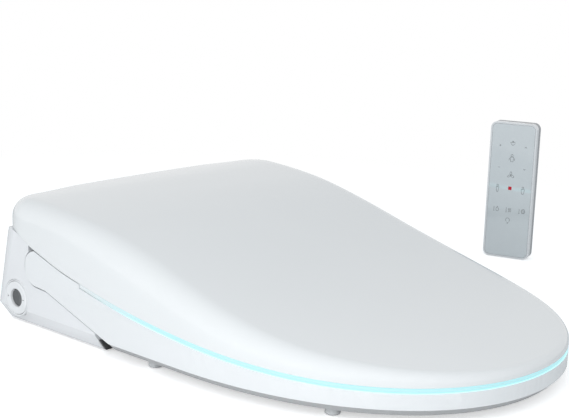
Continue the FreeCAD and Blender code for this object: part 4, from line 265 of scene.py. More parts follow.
def plan_half(inset):
    """The outline from the nose's tip round the right side to the middle of the rear edge, moved in by inset."""
    a = HALF_WIDTH - inset
    reach = NOSE_Y + inset - WIDE_Y
    chord = HALF_WIDTH - CORNER_RADIUS
    bow_radius = (chord**2 + REAR_BOW**2) / (2 * REAR_BOW)
    bow_middle = REAR_Y - bow_radius
    corner_y = bow_middle + math.sqrt((bow_radius - CORNER_RADIUS)**2 - chord**2)
    lean = math.atan2(chord, corner_y - bow_middle)
    points = []
    for i in range(NOSE_STEPS):
        t = 1 - i / NOSE_STEPS
        points.append((a * (1 - t)**3 + 3 * a * (1 - t)**2 * t + 3 * a * NOSE_FULLNESS * (1 - t) * t**2,
                       WIDE_Y + reach * (3 * NOSE_FULLNESS * (1 - t)**2 * t + 3 * (1 - t) * t**2 + t**3)))
    for i in range(SIDE_STEPS):
        points.append((a, WIDE_Y + (corner_y - WIDE_Y) * i / SIDE_STEPS))
    for i in range(CORNER_STEPS):
        turn = (math.pi / 2 - lean) * i / CORNER_STEPS
        r = CORNER_RADIUS - inset
        points.append((chord + r * math.cos(turn), corner_y + r * math.sin(turn)))
    for i in range(REAR_STEPS + 1):
        turn = lean * (1 - i / REAR_STEPS)
        points.append(((bow_radius - inset) * math.sin(turn), bow_middle + (bow_radius - inset) * math.cos(turn)))
    return points


def smoothstep(low, high, value):
    t = min(max((value - low) / (high - low), 0), 1)
    return t * t * (3 - 2 * t)


def reworked(mesh, *changes):
    """The mesh after the given changes to its faces and edges."""
    shape = bmesh.new()
    shape.from_mesh(mesh)
    for change in changes:
        change(shape)
    shape.to_mesh(mesh)
    shape.free()
    return mesh


def turn_outward(shape):
    bmesh.ops.recalc_face_normals(shape, faces=shape.faces)


def rings_mesh(name, rings):
    """A skin over rings of equal count, in millimetres; the two ends may fold flat to close it."""
    count = len(rings[0])
    faces = []
    for j in range(len(rings) - 1):
        for i in range(count):
            k = (i + 1) % count
            faces.append((j * count + i, j * count + k, (j + 1) * count + k, (j + 1) * count + i))
    mesh = bpy.data.meshes.new(name)
    mesh.from_pydata([Vector(p) * MM for ring in rings for p in ring], [], faces)
    reworked(mesh, lambda shape: bmesh.ops.remove_doubles(shape, verts=shape.verts, dist=1e-6), turn_outward)
    mesh.shade_smooth()
    return placed(name, mesh)


def around(half):
    """A full ring from a right half that starts and ends on the middle plane."""
    return half + [(-x, *rest) for x, *rest in reversed(half[1:-1])]


def lid_rings():
    """The lid's skin, ring by ring: the top out to the shoulder, down the side, round the bead, and back under."""
    stations = plan_half(0)
    insets = {}

    def ring(inset_of, height_of):
        """One ring; inset and height may both vary from station to station."""
        half = []
        for i in range(len(stations)):
            inset = inset_of(i)
            if round(inset, 3) not in insets:
                insets[round(inset, 3)] = plan_half(inset)
            px, py = insets[round(inset, 3)][i]
            half.append((px, py, height_of(i, py)))
        return around(half)

    barrel = [smoothstep(BARREL_STARTS_Y, BARREL_FULL_Y, y) for x, y in stations]
    bead = [LID_WALL / 2 + (BARREL_RADIUS - LID_WALL / 2) * w for w in barrel]
    square = [BEAD_SQUARE + BEAD_ROUNDING * w for w in barrel]
    low = [height_at(seam_line, y) + RIM_LIFT + LID_WALL / 2 for x, y in stations]
    middle = [a * (1 - w) + BARREL_HEIGHT * w for a, w in zip(low, barrel)]
    rounding = []
    for (x, y), foot in zip(stations, low):
        widest = SHOULDER - SHOULDER_EASE * smoothstep(EASE_STARTS_Y, EASE_FULL_Y, y)
        if y > 0:
            widest -= REAR_EASE * (1 - smoothstep(REAR_EASE_X, REAR_EASE_ENDS_X, abs(x)))
        side = (height_at(lid_line, y) - foot) * SIDE_SHARE
        rounding.append(round((widest**-4 + side**-4)**-0.25, 2))

    def folded(share, drop):
        """A ring of the top, or of the underside where drop is set, drawn in towards the spine by its share."""
        half = []
        for i, radius in enumerate(rounding):
            x, y = plan_half(radius if drop == 0 else LID_WALL + radius / 2)[i]
            spine_y = min(max(y, NOSE_Y + SPINE_FROM_NOSE), SPINE_REAR_Y)
            fx, fy = x * (1 - share), y + (spine_y - y) * share
            half.append((fx, fy, height_at(lid_line, fy) - drop))
        return around(half)

    rings = [folded(1 - i / TOP_RINGS, 0) for i in range(TOP_RINGS)]
    for i in range(SHOULDER_RINGS + 1):
        turn = math.pi / 2 * i / SHOULDER_RINGS
        rings.append(ring(lambda k: rounding[k] * (1 - math.sin(turn)),
                          lambda k, y: height_at(lid_line, y) - rounding[k] * (1 - math.cos(turn))))
    for i in range(1, SIDE_RINGS):
        rings.append(ring(lambda k: 0.0, lambda k, y: (height_at(lid_line, y) - rounding[k]) * (1 - i / SIDE_RINGS)
                          + middle[k] * i / SIDE_RINGS))
    for i in range(BEAD_RINGS + 1):
        turn = math.pi * i / BEAD_RINGS
        rings.append(ring(lambda k: round(bead[k] * (1 - math.copysign(abs(math.cos(turn))**square[k],
                                                                       math.cos(turn))), 2),
                          lambda k, y: middle[k] - bead[k] * math.sin(turn)**square[k]))
    rings.append(ring(lambda k: round(max(bead[k] * 2, LID_WALL), 2),
                      lambda k, y: max(middle[k], height_at(lid_line, y) - rounding[k])))
    return rings + [folded(i / UNDER_RINGS, LID_WALL) for i in range(UNDER_RINGS + 1)]


def moulded_surface():
    """Shader group shared by every moulded piece: cloudy colour, uneven gloss and a fine grain."""
    group, given = new_group(
        "moulded surface", {"Colour": "Color", "Roughness": "Float", "Cloudiness": "Float", "Grain Scale": "Float"},
        {"Colour": "Color", "Roughness": "Float", "Height": "Float"})
    place = own_place(group)
    cloud = reckon(group, "SUBTRACT", noise(group, place, 14.0, 3.0), 0.5)
    amount = reckon(group, "MULTIPLY", cloud, given["Cloudiness"])
    bright = add(group, "ShaderNodeHueSaturation",
                 {"Value": reckon(group, "ADD", amount, 1.0), "Color": given["Colour"]})
    gloss = reckon(group, "MULTIPLY_ADD", amount, 2.0, given["Roughness"])
    grain = noise(group, place, given["Grain Scale"])
    add(group, "NodeGroupOutput", {"Colour": bright, "Roughness": gloss, "Height": grain})
    return group


MOULDED = moulded_surface()


def plastic(name, colour, roughness, coat=0.0, grain_scale=900.0, grain_depth=0.02, cloud=0.02):
    """Injection-moulded plastic: a faint cloudiness in colour and gloss, and a fine mould texture."""
    material, tree = new_material(name)
    made = add(tree, "ShaderNodeGroup", {"Colour": (*colour, 1.0), "Roughness": roughness, "Cloudiness": cloud,
                                         "Grain Scale": grain_scale}, node_tree=MOULDED).outputs
    shade(tree, made["Colour"], made["Roughness"], made["Height"], (grain_depth, MOULD_GRAIN),
          {"Coat Weight": coat, "Coat Roughness": 0.04})
    return material


def finish_piece(thing, material, body, slot, *nodes_replaced):
    thing.data.materials.clear()
    thing.data.materials.append(material)
    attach(thing, body)
    if nodes_replaced:
        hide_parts(*nodes_replaced)
    return thing


lid_gloss = plastic("lid_gloss", (0.83, 0.845, 0.85), 0.16, coat=0.5, grain_depth=0.004)
lid = rings_mesh("lid", lid_rings())
finish_piece(lid, lid_gloss, "lid", "lid_white", "lid_shell")


# Lid liner and what it carries: a thin matt moulding clipped inside the shell, soft bumpers under it, and the
# two slow-close barrels with their steel spindles, pressed into the rolled rear edge.
def dress(material, *names):
    """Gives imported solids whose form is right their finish."""
    for name in names:
        for piece_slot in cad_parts[name].material_slots:
            piece_slot.material = material


def brushed_surface():
    """Shader group for drawn and turned metal: fine lines along one axis, uneven gloss and a light stain."""
    group, given = new_group("brushed surface", {"Colour": "Color", "Roughness": "Float", "Line Scale": "Vector"},
                             {"Colour": "Color", "Roughness": "Float", "Height": "Float"})
    place = own_place(group)
    stretched = add(group, "ShaderNodeVectorMath", {0: place, 1: given["Line Scale"]}, operation="MULTIPLY")
    line = noise(group, stretched, 1.0, 4.0)
    gloss = reckon(group, "ADD", ranged(group, line, -0.06, 0.08), given["Roughness"])
    tone = ranged(group, noise(group, place, 60.0), 0.9, 1.06)
    stained = add(group, "ShaderNodeHueSaturation", {"Value": tone, "Color": given["Colour"]})
    add(group, "NodeGroupOutput", {"Colour": stained, "Roughness": gloss, "Height": line})
    return group


BRUSHED = brushed_surface()


def metal(name, colour, roughness, line_scale=(2500, 2500, 60), depth=0.08):
    material, tree = new_material(name)
    made = add(tree, "ShaderNodeGroup", {"Colour": (*colour, 1.0), "Roughness": roughness,
                                         "Line Scale": line_scale}, node_tree=BRUSHED).outputs
    shade(tree, made["Colour"], made["Roughness"], made["Height"], (depth, LINE_GRAIN), {"Metallic": 1.0})
    return material


liner_matt = plastic("liner_matt", (0.74, 0.75, 0.76), 0.42, grain_scale=1400.0, grain_depth=0.12)
soft_rubber = plastic("soft_rubber", (0.62, 0.63, 0.64), 0.7, grain_scale=2200.0, grain_depth=0.35, cloud=0.12)
damper_black = plastic("damper_black", (0.035, 0.035, 0.04), 0.38, grain_scale=1800.0, grain_depth=0.15, cloud=0.2)
spindle_steel = metal("spindle_steel", (0.62, 0.63, 0.64), 0.26, (60, 2500, 2500))
dress(liner_matt, "lid_liner")
dress(damper_black, "lid_dampers")
dress(spindle_steel, "lid_hinge_spindles")


# Seat ring: a gloss moulding with the sitting surface, the outer skirt and the two hinge arms in one piece, welded
# to a satin pan below, coloured mid grey as painted shade on its down-facing chamfer; four soft pads under the pan
# rest on the bowl.
def recast(node, soften, material, body, slot, sharp=32):
    """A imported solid's own form, finished: flats made whole, and hard edges broken by soften millimetres."""
    mesh = reworked(
        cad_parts[node].data.copy(),
        lambda shape: bmesh.ops.remove_doubles(shape, verts=shape.verts, dist=2e-6),
        lambda shape: bmesh.ops.dissolve_limit(shape, angle_limit=math.radians(0.4), verts=shape.verts,
                                               edges=shape.edges))
    mesh.shade_smooth()
    mesh.set_sharp_from_angle(angle=math.radians(sharp))
    thing = placed(node + "_finished", mesh)
    edge = thing.modifiers.new("broken edges", "BEVEL")
    edge.width = soften * MM
    edge.segments = 2
    edge.limit_method = "ANGLE"
    edge.angle_limit = math.radians(sharp)
    edge.harden_normals = True
    return finish_piece(thing, material, body, slot, node)


seat_gloss = plastic("seat_gloss", (0.83, 0.845, 0.855), 0.18, coat=0.4, grain_depth=0.005)
# The pan's mid grey is painted shade: a white moulding coloured as its down-facing chamfer looks in shade.
pan_painted_shade = plastic("pan_painted_shade", (0.50, 0.505, 0.51), 0.38, grain_scale=1400.0, grain_depth=0.1)
recast("seat_top_shell", 0.6, seat_gloss, "seat", "seat_white")
recast("seat_bottom_pan", 0.5, pan_painted_shade, "seat", "pan_white")
SEAT_PADS, LID_PAD, SEAT_PAD_HEIGHT = ((145.0, -352.0), (173.0, -163.0)), (55.0, -425.0), 8.0
PAD_RADIUS, FOOT_RADIUS, FOOT_HEIGHT = 7.0, 9.0, 1.5


def circle(u, v, radius, steps):
    return [(u + radius * math.cos(2 * math.pi * k / steps), v + radius * math.sin(2 * math.pi * k / steps))
            for k in range(steps)]


def box_mm(node):
    """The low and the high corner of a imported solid's box, in millimetres."""
    return [Vector(corner) * 1000 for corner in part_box(node)]


def pads(name, places, z_low, z_high, radius):
    """Turned rubber pads on upright axes, as one piece: rounded foot, slight waist, flat root."""
    rise = z_high - z_low
    profile = [(0.0, 0.0), (radius * 0.72, 0.0), (radius * 0.9, rise * 0.06), (radius, rise * 0.2),
               (radius * 0.94, rise * 0.55), (radius * 0.97, rise * 0.85), (radius * 0.99, rise), (0.0, rise)]
    shape = bmesh.new()
    for x, y in places:
        pad = rings_mesh("pad", [[(*p, z_low + h) for p in circle(x, y, r, 40)] for r, h in profile])
        spare = pad.data
        shape.from_mesh(spare)
        bpy.data.objects.remove(pad)
        bpy.data.meshes.remove(spare)
    mesh = bpy.data.meshes.new(name)
    shape.to_mesh(mesh)
    shape.free()
    mesh.set_sharp_from_angle(angle=math.radians(40))
    return placed(name, mesh)


seat_pads = pads("seat_pads", [(side * x, y) for side in (1, -1) for x, y in SEAT_PADS],
                 0.0, SEAT_PAD_HEIGHT, PAD_RADIUS)
finish_piece(seat_pads, soft_rubber, "seat", "soft_rubber", "seat_bumpers")
bumper_low, bumper_high = box_mm("lid_bumpers")
lid_pads = pads("lid_pads", [(side * LID_PAD[0], LID_PAD[1]) for side in (1, -1)],
                bumper_low.z, bumper_high.z, PAD_RADIUS)
finish_piece(lid_pads, soft_rubber, "lid", "soft_rubber", "lid_bumpers")

# Light strip: a bar of milky acrylic let into the ledge between seat and lid, lit by a strip of diodes under it.
# It fades out towards the hinge, where the diodes end.
STRIP_SECTION = ((6.8, -2.5), (1.6, -2.5), (0.95, -2.1), (0.8, -1.4), (0.8, 0.4), (0.95, 1.3), (1.6, 1.8), (6.8, 1.8))
STRIP_INSET, STRIP_END_Y = 0.8, -75.3
DARK_FROM, LIT_FROM = -0.074, -0.185
DIODE_LIGHT, UNLIT_ACRYLIC, LIT_ACRYLIC = (0.40, 0.94, 1.0, 1.0), (0.80, 0.84, 0.85, 1.0), (0.32, 0.38, 0.39, 1.0)
SPILT_LIGHT, SEEN_LIGHT = 1.2, 0.56


def strip_rings():
    """Sections of the strip from the left end round the nose to the right end."""
    stations = plan_half(STRIP_INSET)
    last = max(i for i, (x, y) in enumerate(stations) if y < STRIP_END_Y)
    right = [[plan_half(inset)[i] for inset, rise in STRIP_SECTION] for i in range(last + 1)]
    right.append([(HALF_WIDTH - inset, STRIP_END_Y) for inset, rise in STRIP_SECTION])

    def ring(places, side):
        return [(side * x, y, height_at(seam_line, y) + rise)
                for (x, y), (inset, rise) in zip(places, STRIP_SECTION)]

    return [ring(places, -1) for places in reversed(right[1:])] + [ring(places, 1) for places in right]


def fill_ends(shape):
    bmesh.ops.holes_fill(shape, edges=[e for e in shape.edges if e.is_boundary], sides=0)


glow_acrylic, tree = new_material("glow_acrylic")
place = own_place(tree)
along = add(tree, "ShaderNodeSeparateXYZ", {0: place}).outputs["Y"]
diodes = noise(tree, place, 70.0, 1.0)
level = reckon(tree, "MULTIPLY", eased(tree, along, DARK_FROM, LIT_FROM), ranged(tree, diodes, 0.92, 1.05))
shade(tree, blend(tree, level, UNLIT_ACRYLIC, LIT_ACRYLIC), 0.32, diodes, (0.05, MOULD_GRAIN),
      {"Emission Color": blend(tree, level, BLACK, DIODE_LIGHT),
       "Emission Strength": ranged(tree, seen_straight(tree, "Is Camera Ray"), SPILT_LIGHT, SEEN_LIGHT)})
strip = rings_mesh("light_strip", strip_rings())
reworked(strip.data, fill_ends, turn_outward)
strip.data.shade_smooth()
strip.data.set_sharp_from_angle(angle=math.radians(50))
finish_piece(strip, glow_acrylic, "seat", "light", "light_guide")


# Inside the seat: a printed heater film under the sitting surface, and the narrow board with the strip's diodes.
def printed_surface():
    """Shader group for printed sheets and boards: a grid of tracks on a mottled sheet."""
    group, given = new_group("printed surface", {"Sheet": "Color", "Track": "Color", "Track Scale": "Float"},
                             {"Colour": "Color", "Track Mask": "Float", "Height": "Float"})
    place = own_place(group)
    grid = add(group, "ShaderNodeTexBrick", {"Vector": place, "Scale": given["Track Scale"],
                                             "Mortar Size": 0.06}).outputs["Fac"]
    tone = ranged(group, noise(group, place, 120.0), 0.85, 1.1)
    tracks = blend(group, grid, given["Sheet"], given["Track"])
    mottled = add(group, "ShaderNodeHueSaturation", {"Value": tone, "Color": tracks})
    add(group, "NodeGroupOutput", {"Colour": mottled, "Track Mask": grid, "Height": grid})
    return group


PRINTED = printed_surface()


def printed(name, sheet, track, scale, roughness):
    material, tree = new_material(name)
    made = add(tree, "ShaderNodeGroup", {"Sheet": (*sheet, 1.0), "Track": (*track, 1.0), "Track Scale": scale},
               node_tree=PRINTED).outputs
    shade(tree, made["Colour"], ranged(tree, made["Track Mask"], roughness, roughness * 0.6), made["Height"],
          (0.4, LINE_GRAIN))
    return material


heater_print = printed("heater_print", (0.50, 0.26, 0.07), (0.62, 0.36, 0.20), 90.0, 0.35)
board_green = printed("board_green", (0.03, 0.20, 0.09), (0.10, 0.34, 0.18), 160.0, 0.4)
dress(heater_print, "seat_heater_film")
dress(board_green, "led_board", "main_board")

# Base unit: two gloss cheeks, the top cover with its hinge knuckles, a satin front panel and a grey tray below,
# darkened to near black as painted shade under the seat, all injection mouldings; four screws go up from the tray
# into the cover, beside the soft feet.
base_gloss = plastic("base_gloss", (0.82, 0.83, 0.845), 0.24, coat=0.3, grain_depth=0.01)
panel_satin = plastic("panel_satin", (0.50, 0.51, 0.52), 0.4, grain_scale=1400.0, grain_depth=0.12)
# The tray's near-black colour is partly painted shade: it darkens the tray's front face where the seat shades it.
tray_painted_shade = plastic("tray_painted_shade", (0.07, 0.07, 0.072), 0.5, grain_scale=1200.0, grain_depth=0.2, cloud=0.12)
screw_steel = metal("screw_steel", (0.6, 0.6, 0.62), 0.3, (900, 900, 900))
recast("left_cheek", 0.6, base_gloss, "unit", "base_white")
recast("right_cheek", 0.6, base_gloss, "unit", "base_white")
recast("base_top_cover", 0.5, base_gloss, "unit", "base_white")
recast("base_front_panel", 0.3, panel_satin, "unit", "panel_grey")
recast("base_bottom_tray", 0.3, tray_painted_shade, "unit", "tray_grey")
feet_low, feet_high = box_mm("base_feet")
base_pads = pads("base_pads", [(side * (feet_high.x - FOOT_RADIUS), y) for side in (1, -1)
                               for y in (feet_low.y + FOOT_RADIUS, feet_high.y - FOOT_RADIUS)],
                 0.0, FOOT_HEIGHT, FOOT_RADIUS)
finish_piece(base_pads, soft_rubber, "unit", "soft_rubber", "base_feet")
dress(screw_steel, "cover_screws")

# Mounting plate, bolted to the bowl, with the tab that the latch holds; the release button and its latch; and the
# steel pins with the slow-close barrels that carry the seat.
BUTTON_Y, BUTTON_Z = -20.0, 27.0
plate_satin = plastic("plate_satin", (0.66, 0.66, 0.65), 0.45, grain_scale=1100.0, grain_depth=0.15, cloud=0.05)
latch_grey = plastic("latch_grey", (0.26, 0.27, 0.28), 0.4, grain_scale=1500.0, grain_depth=0.15, cloud=0.06)
pin_steel = metal("pin_steel", (0.58, 0.59, 0.60), 0.24, (60, 2500, 2500))
recast("mounting_plate", 0.5, plate_satin, "unit", "plate_white")
dress(latch_grey, "release_latch")
dress(pin_steel, "seat_hinge_pins")


def lathe(name, rings):
    """A turned piece over its rings, with crisp corners."""
    thing = rings_mesh(name, rings)
    thing.data.set_sharp_from_angle(angle=math.radians(38))
    return thing


def turned(name, profile, centre, steps=80):
    """A piece turned about an axis along X through centre: profile is (x, radius) points in millimetres."""
    return lathe(name, [[(x, *p) for p in circle(*centre, radius, steps)] for x, radius in profile])


button = turned("release_push", [(190.1, 0.0), (190.15, 3.0), (190.35, 5.2), (190.5, 5.9), (190.3, 6.3), (189.8, 6.5),
                                 (184.0, 6.5), (183.5, 6.2), (183.5, 0.0)], (BUTTON_Y, BUTTON_Z), 56)
finish_piece(button, base_gloss, "release", "base_white", "release_button")

# Wash nozzle: a white tip with its spray holes on a drawn steel tube, driven by a rack and pinion from a small
# motor, in a plastic cradle, with a thin steel feed tube behind.
nozzle_gloss = plastic("nozzle_gloss", (0.80, 0.81, 0.82), 0.2, coat=0.3, grain_depth=0.01)
drawn_steel = metal("drawn_steel", (0.70, 0.71, 0.72), 0.16, (2500, 90, 2500), 0.05)
works_grey = plastic("works_grey", (0.24, 0.25, 0.265), 0.42, grain_scale=1500.0, grain_depth=0.2, cloud=0.08)
works_black = plastic("works_black", (0.03, 0.03, 0.034), 0.4, grain_scale=1800.0, grain_depth=0.2, cloud=0.25)
motor_can = metal("motor_can", (0.45, 0.46, 0.48), 0.34, (1400, 1400, 80))
recast("nozzle_tip", 0.4, nozzle_gloss, "nozzle", "nozzle_white")
dress(drawn_steel, "nozzle_wand", "nozzle_feed_tube")
dress(works_grey, "nozzle_cradle")
dress(works_black, "nozzle_pinion")
dress(motor_can, "nozzle_motor")

# Fan wheels of the dryer and the deodorizer: a moulded hub and disc, with thin leaning blades set round the rim,
# pressed onto the motor's shaft.
DISC, BLADE_THICKNESS, BLADE_LEAN = 1.4, 1.0, 0.5


def blades_round_a_hub():
    """Node tree: adds a ring of leaning, bowed blades to a turned hub."""
    tree, given = new_group(
        "blades round a hub",
        {"Geometry": "Geometry", "Count": "Int", "Rim Radius": "Float", "Blade Depth": "Float",
         "Blade Height": "Float", "Blade Thickness": "Float", "Lean": "Float", "Middle": "Vector",
         "Finish": "Material"},
        {"Geometry": "Geometry"}, "GeometryNodeTree")
    rim = add(tree, "GeometryNodeMeshCircle", {"Vertices": given["Count"], "Radius": given["Rim Radius"]})
    line = add(tree, "GeometryNodeCurvePrimitiveLine", {"Direction": (-1.0, 0.0, 0.0), "Length": given["Blade Depth"]},
               mode="DIRECTION")
    bends = add(tree, "GeometryNodeResampleCurve", {0: line, "Count": 5})
    along = add(tree, "GeometryNodeSplineParameter").outputs["Factor"]
    bulge = reckon(tree, "MULTIPLY", along, reckon(tree, "SUBTRACT", 1.0, along))
    aside = add(tree, "ShaderNodeCombineXYZ", {"Y": reckon(tree, "MULTIPLY", bulge, given["Blade Depth"])})
    bent = add(tree, "GeometryNodeSetPosition", {"Geometry": bends, "Offset": aside})
    section = add(tree, "GeometryNodeCurvePrimitiveQuadrilateral",
                  {"Width": given["Blade Thickness"], "Height": given["Blade Height"]})
    blade = add(tree, "GeometryNodeCurveToMesh", {"Curve": bent, "Profile Curve": section, "Fill Caps": True})
    step = reckon(tree, "DIVIDE", 2 * math.pi, given["Count"])
    angle = reckon(tree, "MULTIPLY_ADD", add(tree, "GeometryNodeInputIndex"), step, given["Lean"])
    spin = add(tree, "FunctionNodeEulerToRotation", {0: add(tree, "ShaderNodeCombineXYZ", {"Z": angle})})
    copies = add(tree, "GeometryNodeInstanceOnPoints", {"Points": rim, "Instance": blade, "Rotation": spin})
    moved = add(tree, "GeometryNodeTransform", {"Geometry": copies, "Translation": given["Middle"]})
    whole = add(tree, "GeometryNodeJoinGeometry", {0: moved})
    tree.links.new(given["Geometry"], whole.inputs[0])
    real = add(tree, "GeometryNodeRealizeInstances", {0: whole})
    add(tree, "NodeGroupOutput",
        {0: add(tree, "GeometryNodeSetMaterial", {"Geometry": real, "Material": given["Finish"]})})
    return tree


def grown(thing, tree, values):
    """Runs a node tree on a piece and keeps the result as its plain mesh."""
    modifier = thing.modifiers.new(tree.name, "NODES")
    modifier.node_group = tree
    for socket in tree.interface.items_tree:
        if socket.in_out == "INPUT" and socket.name in values:
            modifier[socket.identifier] = values[socket.name]
    evaluated = thing.evaluated_get(bpy.context.evaluated_depsgraph_get())
    mesh = bpy.data.meshes.new_from_object(evaluated)
    thing.modifiers.remove(modifier)
    thing.data = mesh


wheel_tree = blades_round_a_hub()
for node, body, count, depth, shaft in (("blower_wheel", "blower", 24, 7.0, 4.5),
                                        ("deodorizer_wheel", "fan", 20, 5.5, 3.6)):
    low, high = box_mm(node)
    middle = (low + high) / 2
    rim = (high.x - low.x) / 2
    bore = shaft / 2
    height = high.z - low.z - DISC
    profile = [(bore, low.z), (rim - 0.4, low.z), (rim, low.z + 0.3), (rim, low.z + 1.0), (rim - 0.3, low.z + 1.2),
               (shaft + 4, low.z + DISC), (shaft + 1, low.z + 3), (shaft, high.z - 1.6),
               (shaft - 0.5, high.z - 1.0), (bore, high.z - 1.0), (bore, low.z)]
    hub = lathe(node + "_finished", [[(*p, z) for p in circle(middle.x, middle.y, r, 64)] for r, z in profile])
    grown(hub, wheel_tree, {"Count": count, "Rim Radius": (rim - 0.2) * MM, "Blade Depth": depth * MM,
                            "Blade Height": height * MM, "Blade Thickness": BLADE_THICKNESS * MM,
                            "Lean": BLADE_LEAN, "Finish": works_black,
                            "Middle": (middle.x * MM, middle.y * MM, (low.z + 1.3 + height / 2) * MM)})
    finish_piece(hub, works_black, body, "works_black", node)

# Warm-air dryer and deodorizer: moulded ducts and scroll housings, a finned heater, a flap in front that the air
# pushes open, small can motors, and a filter drawer that slides out through the right cheek.
heater_fin = metal("heater_fin", (0.55, 0.54, 0.52), 0.4, (1200, 1200, 1200))
dress(works_grey, "dryer_duct", "blower_housing", "deodorizer_duct", "deodorizer_housing", "filter_sleeve")
dress(heater_fin, "dryer_heater")
dress(motor_can, "blower_motor", "deodorizer_motor")
recast("dryer_flap", 0.3, panel_satin, "flap", "panel_grey")
recast("filter_cartridge", 0.5, base_gloss, "filter", "base_white")

# Water path: a brass inlet in its cup, then a valve, a heater tank, a pump and a distributor of white and grey
# mouldings, joined by milky silicone hose.
inlet_brass = metal("inlet_brass", (0.66, 0.47, 0.20), 0.3, (1500, 120, 1500))
valve_white = plastic("valve_white", (0.70, 0.70, 0.67), 0.42, grain_scale=1300.0, grain_depth=0.12, cloud=0.05)
hose_milky = plastic("hose_milky", (0.55, 0.59, 0.60), 0.35, grain_scale=700.0, grain_depth=0.1, cloud=0.1)
recast("inlet_fitting", 0.3, inlet_brass, "unit", "brass")
dress(valve_white, "inlet_valve", "water_heater_tank")
dress(works_grey, "flow_distributor")
dress(works_black, "water_pump")
dress(hose_milky, "water_hoses")

# Electronics: a green board on posts, its coil, relays and sockets in dark mouldings, and the cord's gland at the
# rear.
dress(damper_black, "board_components", "knob_encoder")
recast("cord_gland", 0.3, works_black, "unit", "works_black")

# Control knob on the user's right: a raised white boss, a white ring to turn, and a dark polished dial to press.
# Plus and minus are pad-printed on the ring; a thin dark gap parts ring from boss.
KNOB_Y, KNOB_Z, KNOB_FACE_X = 25.0, 29.0, -191.56
knob_gloss = plastic("knob_gloss", (0.84, 0.85, 0.86), 0.2, coat=0.4, grain_depth=0.008)
dial_polish = plastic("dial_polish", (0.085, 0.088, 0.092), 0.22, coat=0.6, grain_depth=0.01, cloud=0.3)
boss = turned("knob_boss", [(-177.0, 19.0), (-190.1, 19.0), (-190.7, 18.85), (-191.0, 18.5), (-191.0, 18.1),
                            (-190.8, 17.7), (-190.2, 17.45), (-189.0, 17.4), (-177.0, 17.4), (-177.0, 19.0)],
              (KNOB_Y, KNOB_Z))
finish_piece(boss, knob_gloss, "unit", "bezel_white", "knob_bezel")
ring = turned("knob_ring_finished", [
    (-173.9, 2.15), (-173.9, 4.3), (-174.2, 4.5), (-182.4, 4.5), (-182.4, 16.8), (-182.7, 17.1), (-190.5, 17.1),
    (-191.3, 16.9), (-191.75, 16.4), (-191.9, 15.7), (-191.85, 14.6), (-191.7, 13.4), (-191.6, 12.0), (-191.65, 10.8),
    (-191.6, 10.0), (-191.3, 9.5), (-190.8, 9.3), (-184.4, 9.3), (-184.4, 2.15), (-173.9, 2.15)], (KNOB_Y, KNOB_Z))
finish_piece(ring, knob_gloss, "ring", "base_white", "knob_ring")
dial = turned("knob_dial", [(-188.4, 0.0), (-188.42, 3.0), (-188.55, 5.5), (-188.75, 7.2), (-188.95, 8.1),
                            (-188.95, 8.6), (-188.7, 8.9), (-188.1, 9.0), (-186.2, 9.0), (-186.2, 2.0),
                            (-174.8, 2.0), (-174.8, 0.0)], (KNOB_Y, KNOB_Z))
finish_piece(dial, dial_polish, "dial", "dial_black", "knob_button")


def printed_lines(name, runs, width, rise, place):
    """Flat printed lines: each run is a list of (u, v) points in millimetres; a closed run repeats its first."""
    points, faces = [], []
    for run in runs:
        p = [Vector(q) for q in run]
        closed = (p[0] - p[-1]).length < 1e-6 and len(p) > 3
        if closed:
            p = p[:-1]
        base = len(points)
        for i, q in enumerate(p):
            before = p[i - 1] if i or closed else q
            after = p[(i + 1) % len(p)] if i < len(p) - 1 or closed else q
            one = (q - before).normalized() if (q - before).length else (after - q).normalized()
            two = (after - q).normalized() if (after - q).length else one
            along = (one + two).normalized() if (one + two).length > 0.2 else two
            across = Vector((-along.y, along.x)) * width / 2 / max(abs(along.dot(two)), 0.45)
            points += [place(*(q + across), rise), place(*(q - across), rise),
                       place(*(q - across), 0.0), place(*(q + across), 0.0)]
        for i in range(len(p) if closed else len(p) - 1):
            a, b = base + 4 * i, base + 4 * ((i + 1) % len(p))
            faces += [(a + k, a + (k + 1) % 4, b + (k + 1) % 4, b + k) for k in range(4)]
        if not closed:
            last = base + 4 * (len(p) - 1)
            faces += [(base, base + 3, base + 2, base + 1), (last, last + 1, last + 2, last + 3)]
    mesh = bpy.data.meshes.new(name)
    mesh.from_pydata([Vector(q) * MM for q in points], [], faces)
    return placed(name, reworked(mesh, turn_outward))


print_grey = plastic("print_grey", (0.12, 0.125, 0.13), 0.5, grain_scale=2600.0, grain_depth=0.1, cloud=0.15)
marks = printed_lines("knob_marks", [[(-15.0, 0), (-11.2, 0)], [(-13.1, -1.9), (-13.1, 1.9)], [(11.2, 0), (15.0, 0)]],
                      0.8, 0.12, lambda u, v, w: (KNOB_FACE_X - w, KNOB_Y - u, KNOB_Z + v))
finish_piece(marks, print_grey, "ring", "damper_black")

# Remote, which stands beside the seat at its true size: a white frame with rounded corners round a pale glass
# face, a grey back with its sliding battery door, and a dark window for the signal at the upper right.
REMOTE_X, REMOTE_Y, REMOTE_TURN, REMOTE_FACE, REMOTE_DOOR = 440.0, -172.0, math.radians(75), -9.0, 8.4
INK = 0.03
frame_gloss = plastic("frame_gloss", (0.80, 0.815, 0.83), 0.22, coat=0.4, grain_depth=0.008)
remote_back = plastic("remote_back", (0.40, 0.41, 0.425), 0.42, grain_scale=1600.0, grain_depth=0.15, cloud=0.04)
face_glass = plastic("face_glass", (0.68, 0.725, 0.745), 0.05, coat=1.0, grain_scale=40.0, grain_depth=0.002,
                     cloud=0.03)
window_black = plastic("window_black", (0.012, 0.012, 0.014), 0.08, coat=0.8, grain_depth=0.01, cloud=0.4)
recast("remote_front_frame", 0.7, frame_gloss, "remote", "remote_white", 40)
recast("remote_back_shell", 0.6, remote_back, "remote", "remote_grey", 40)
recast("remote_glass", 0.25, face_glass, "remote", "remote_glass", 40)
recast("remote_ir_window", 0.2, window_black, "remote", "ir_black", 40)
recast("remote_battery_cover", 0.3, remote_back, "remote_cover", "remote_grey", 40)


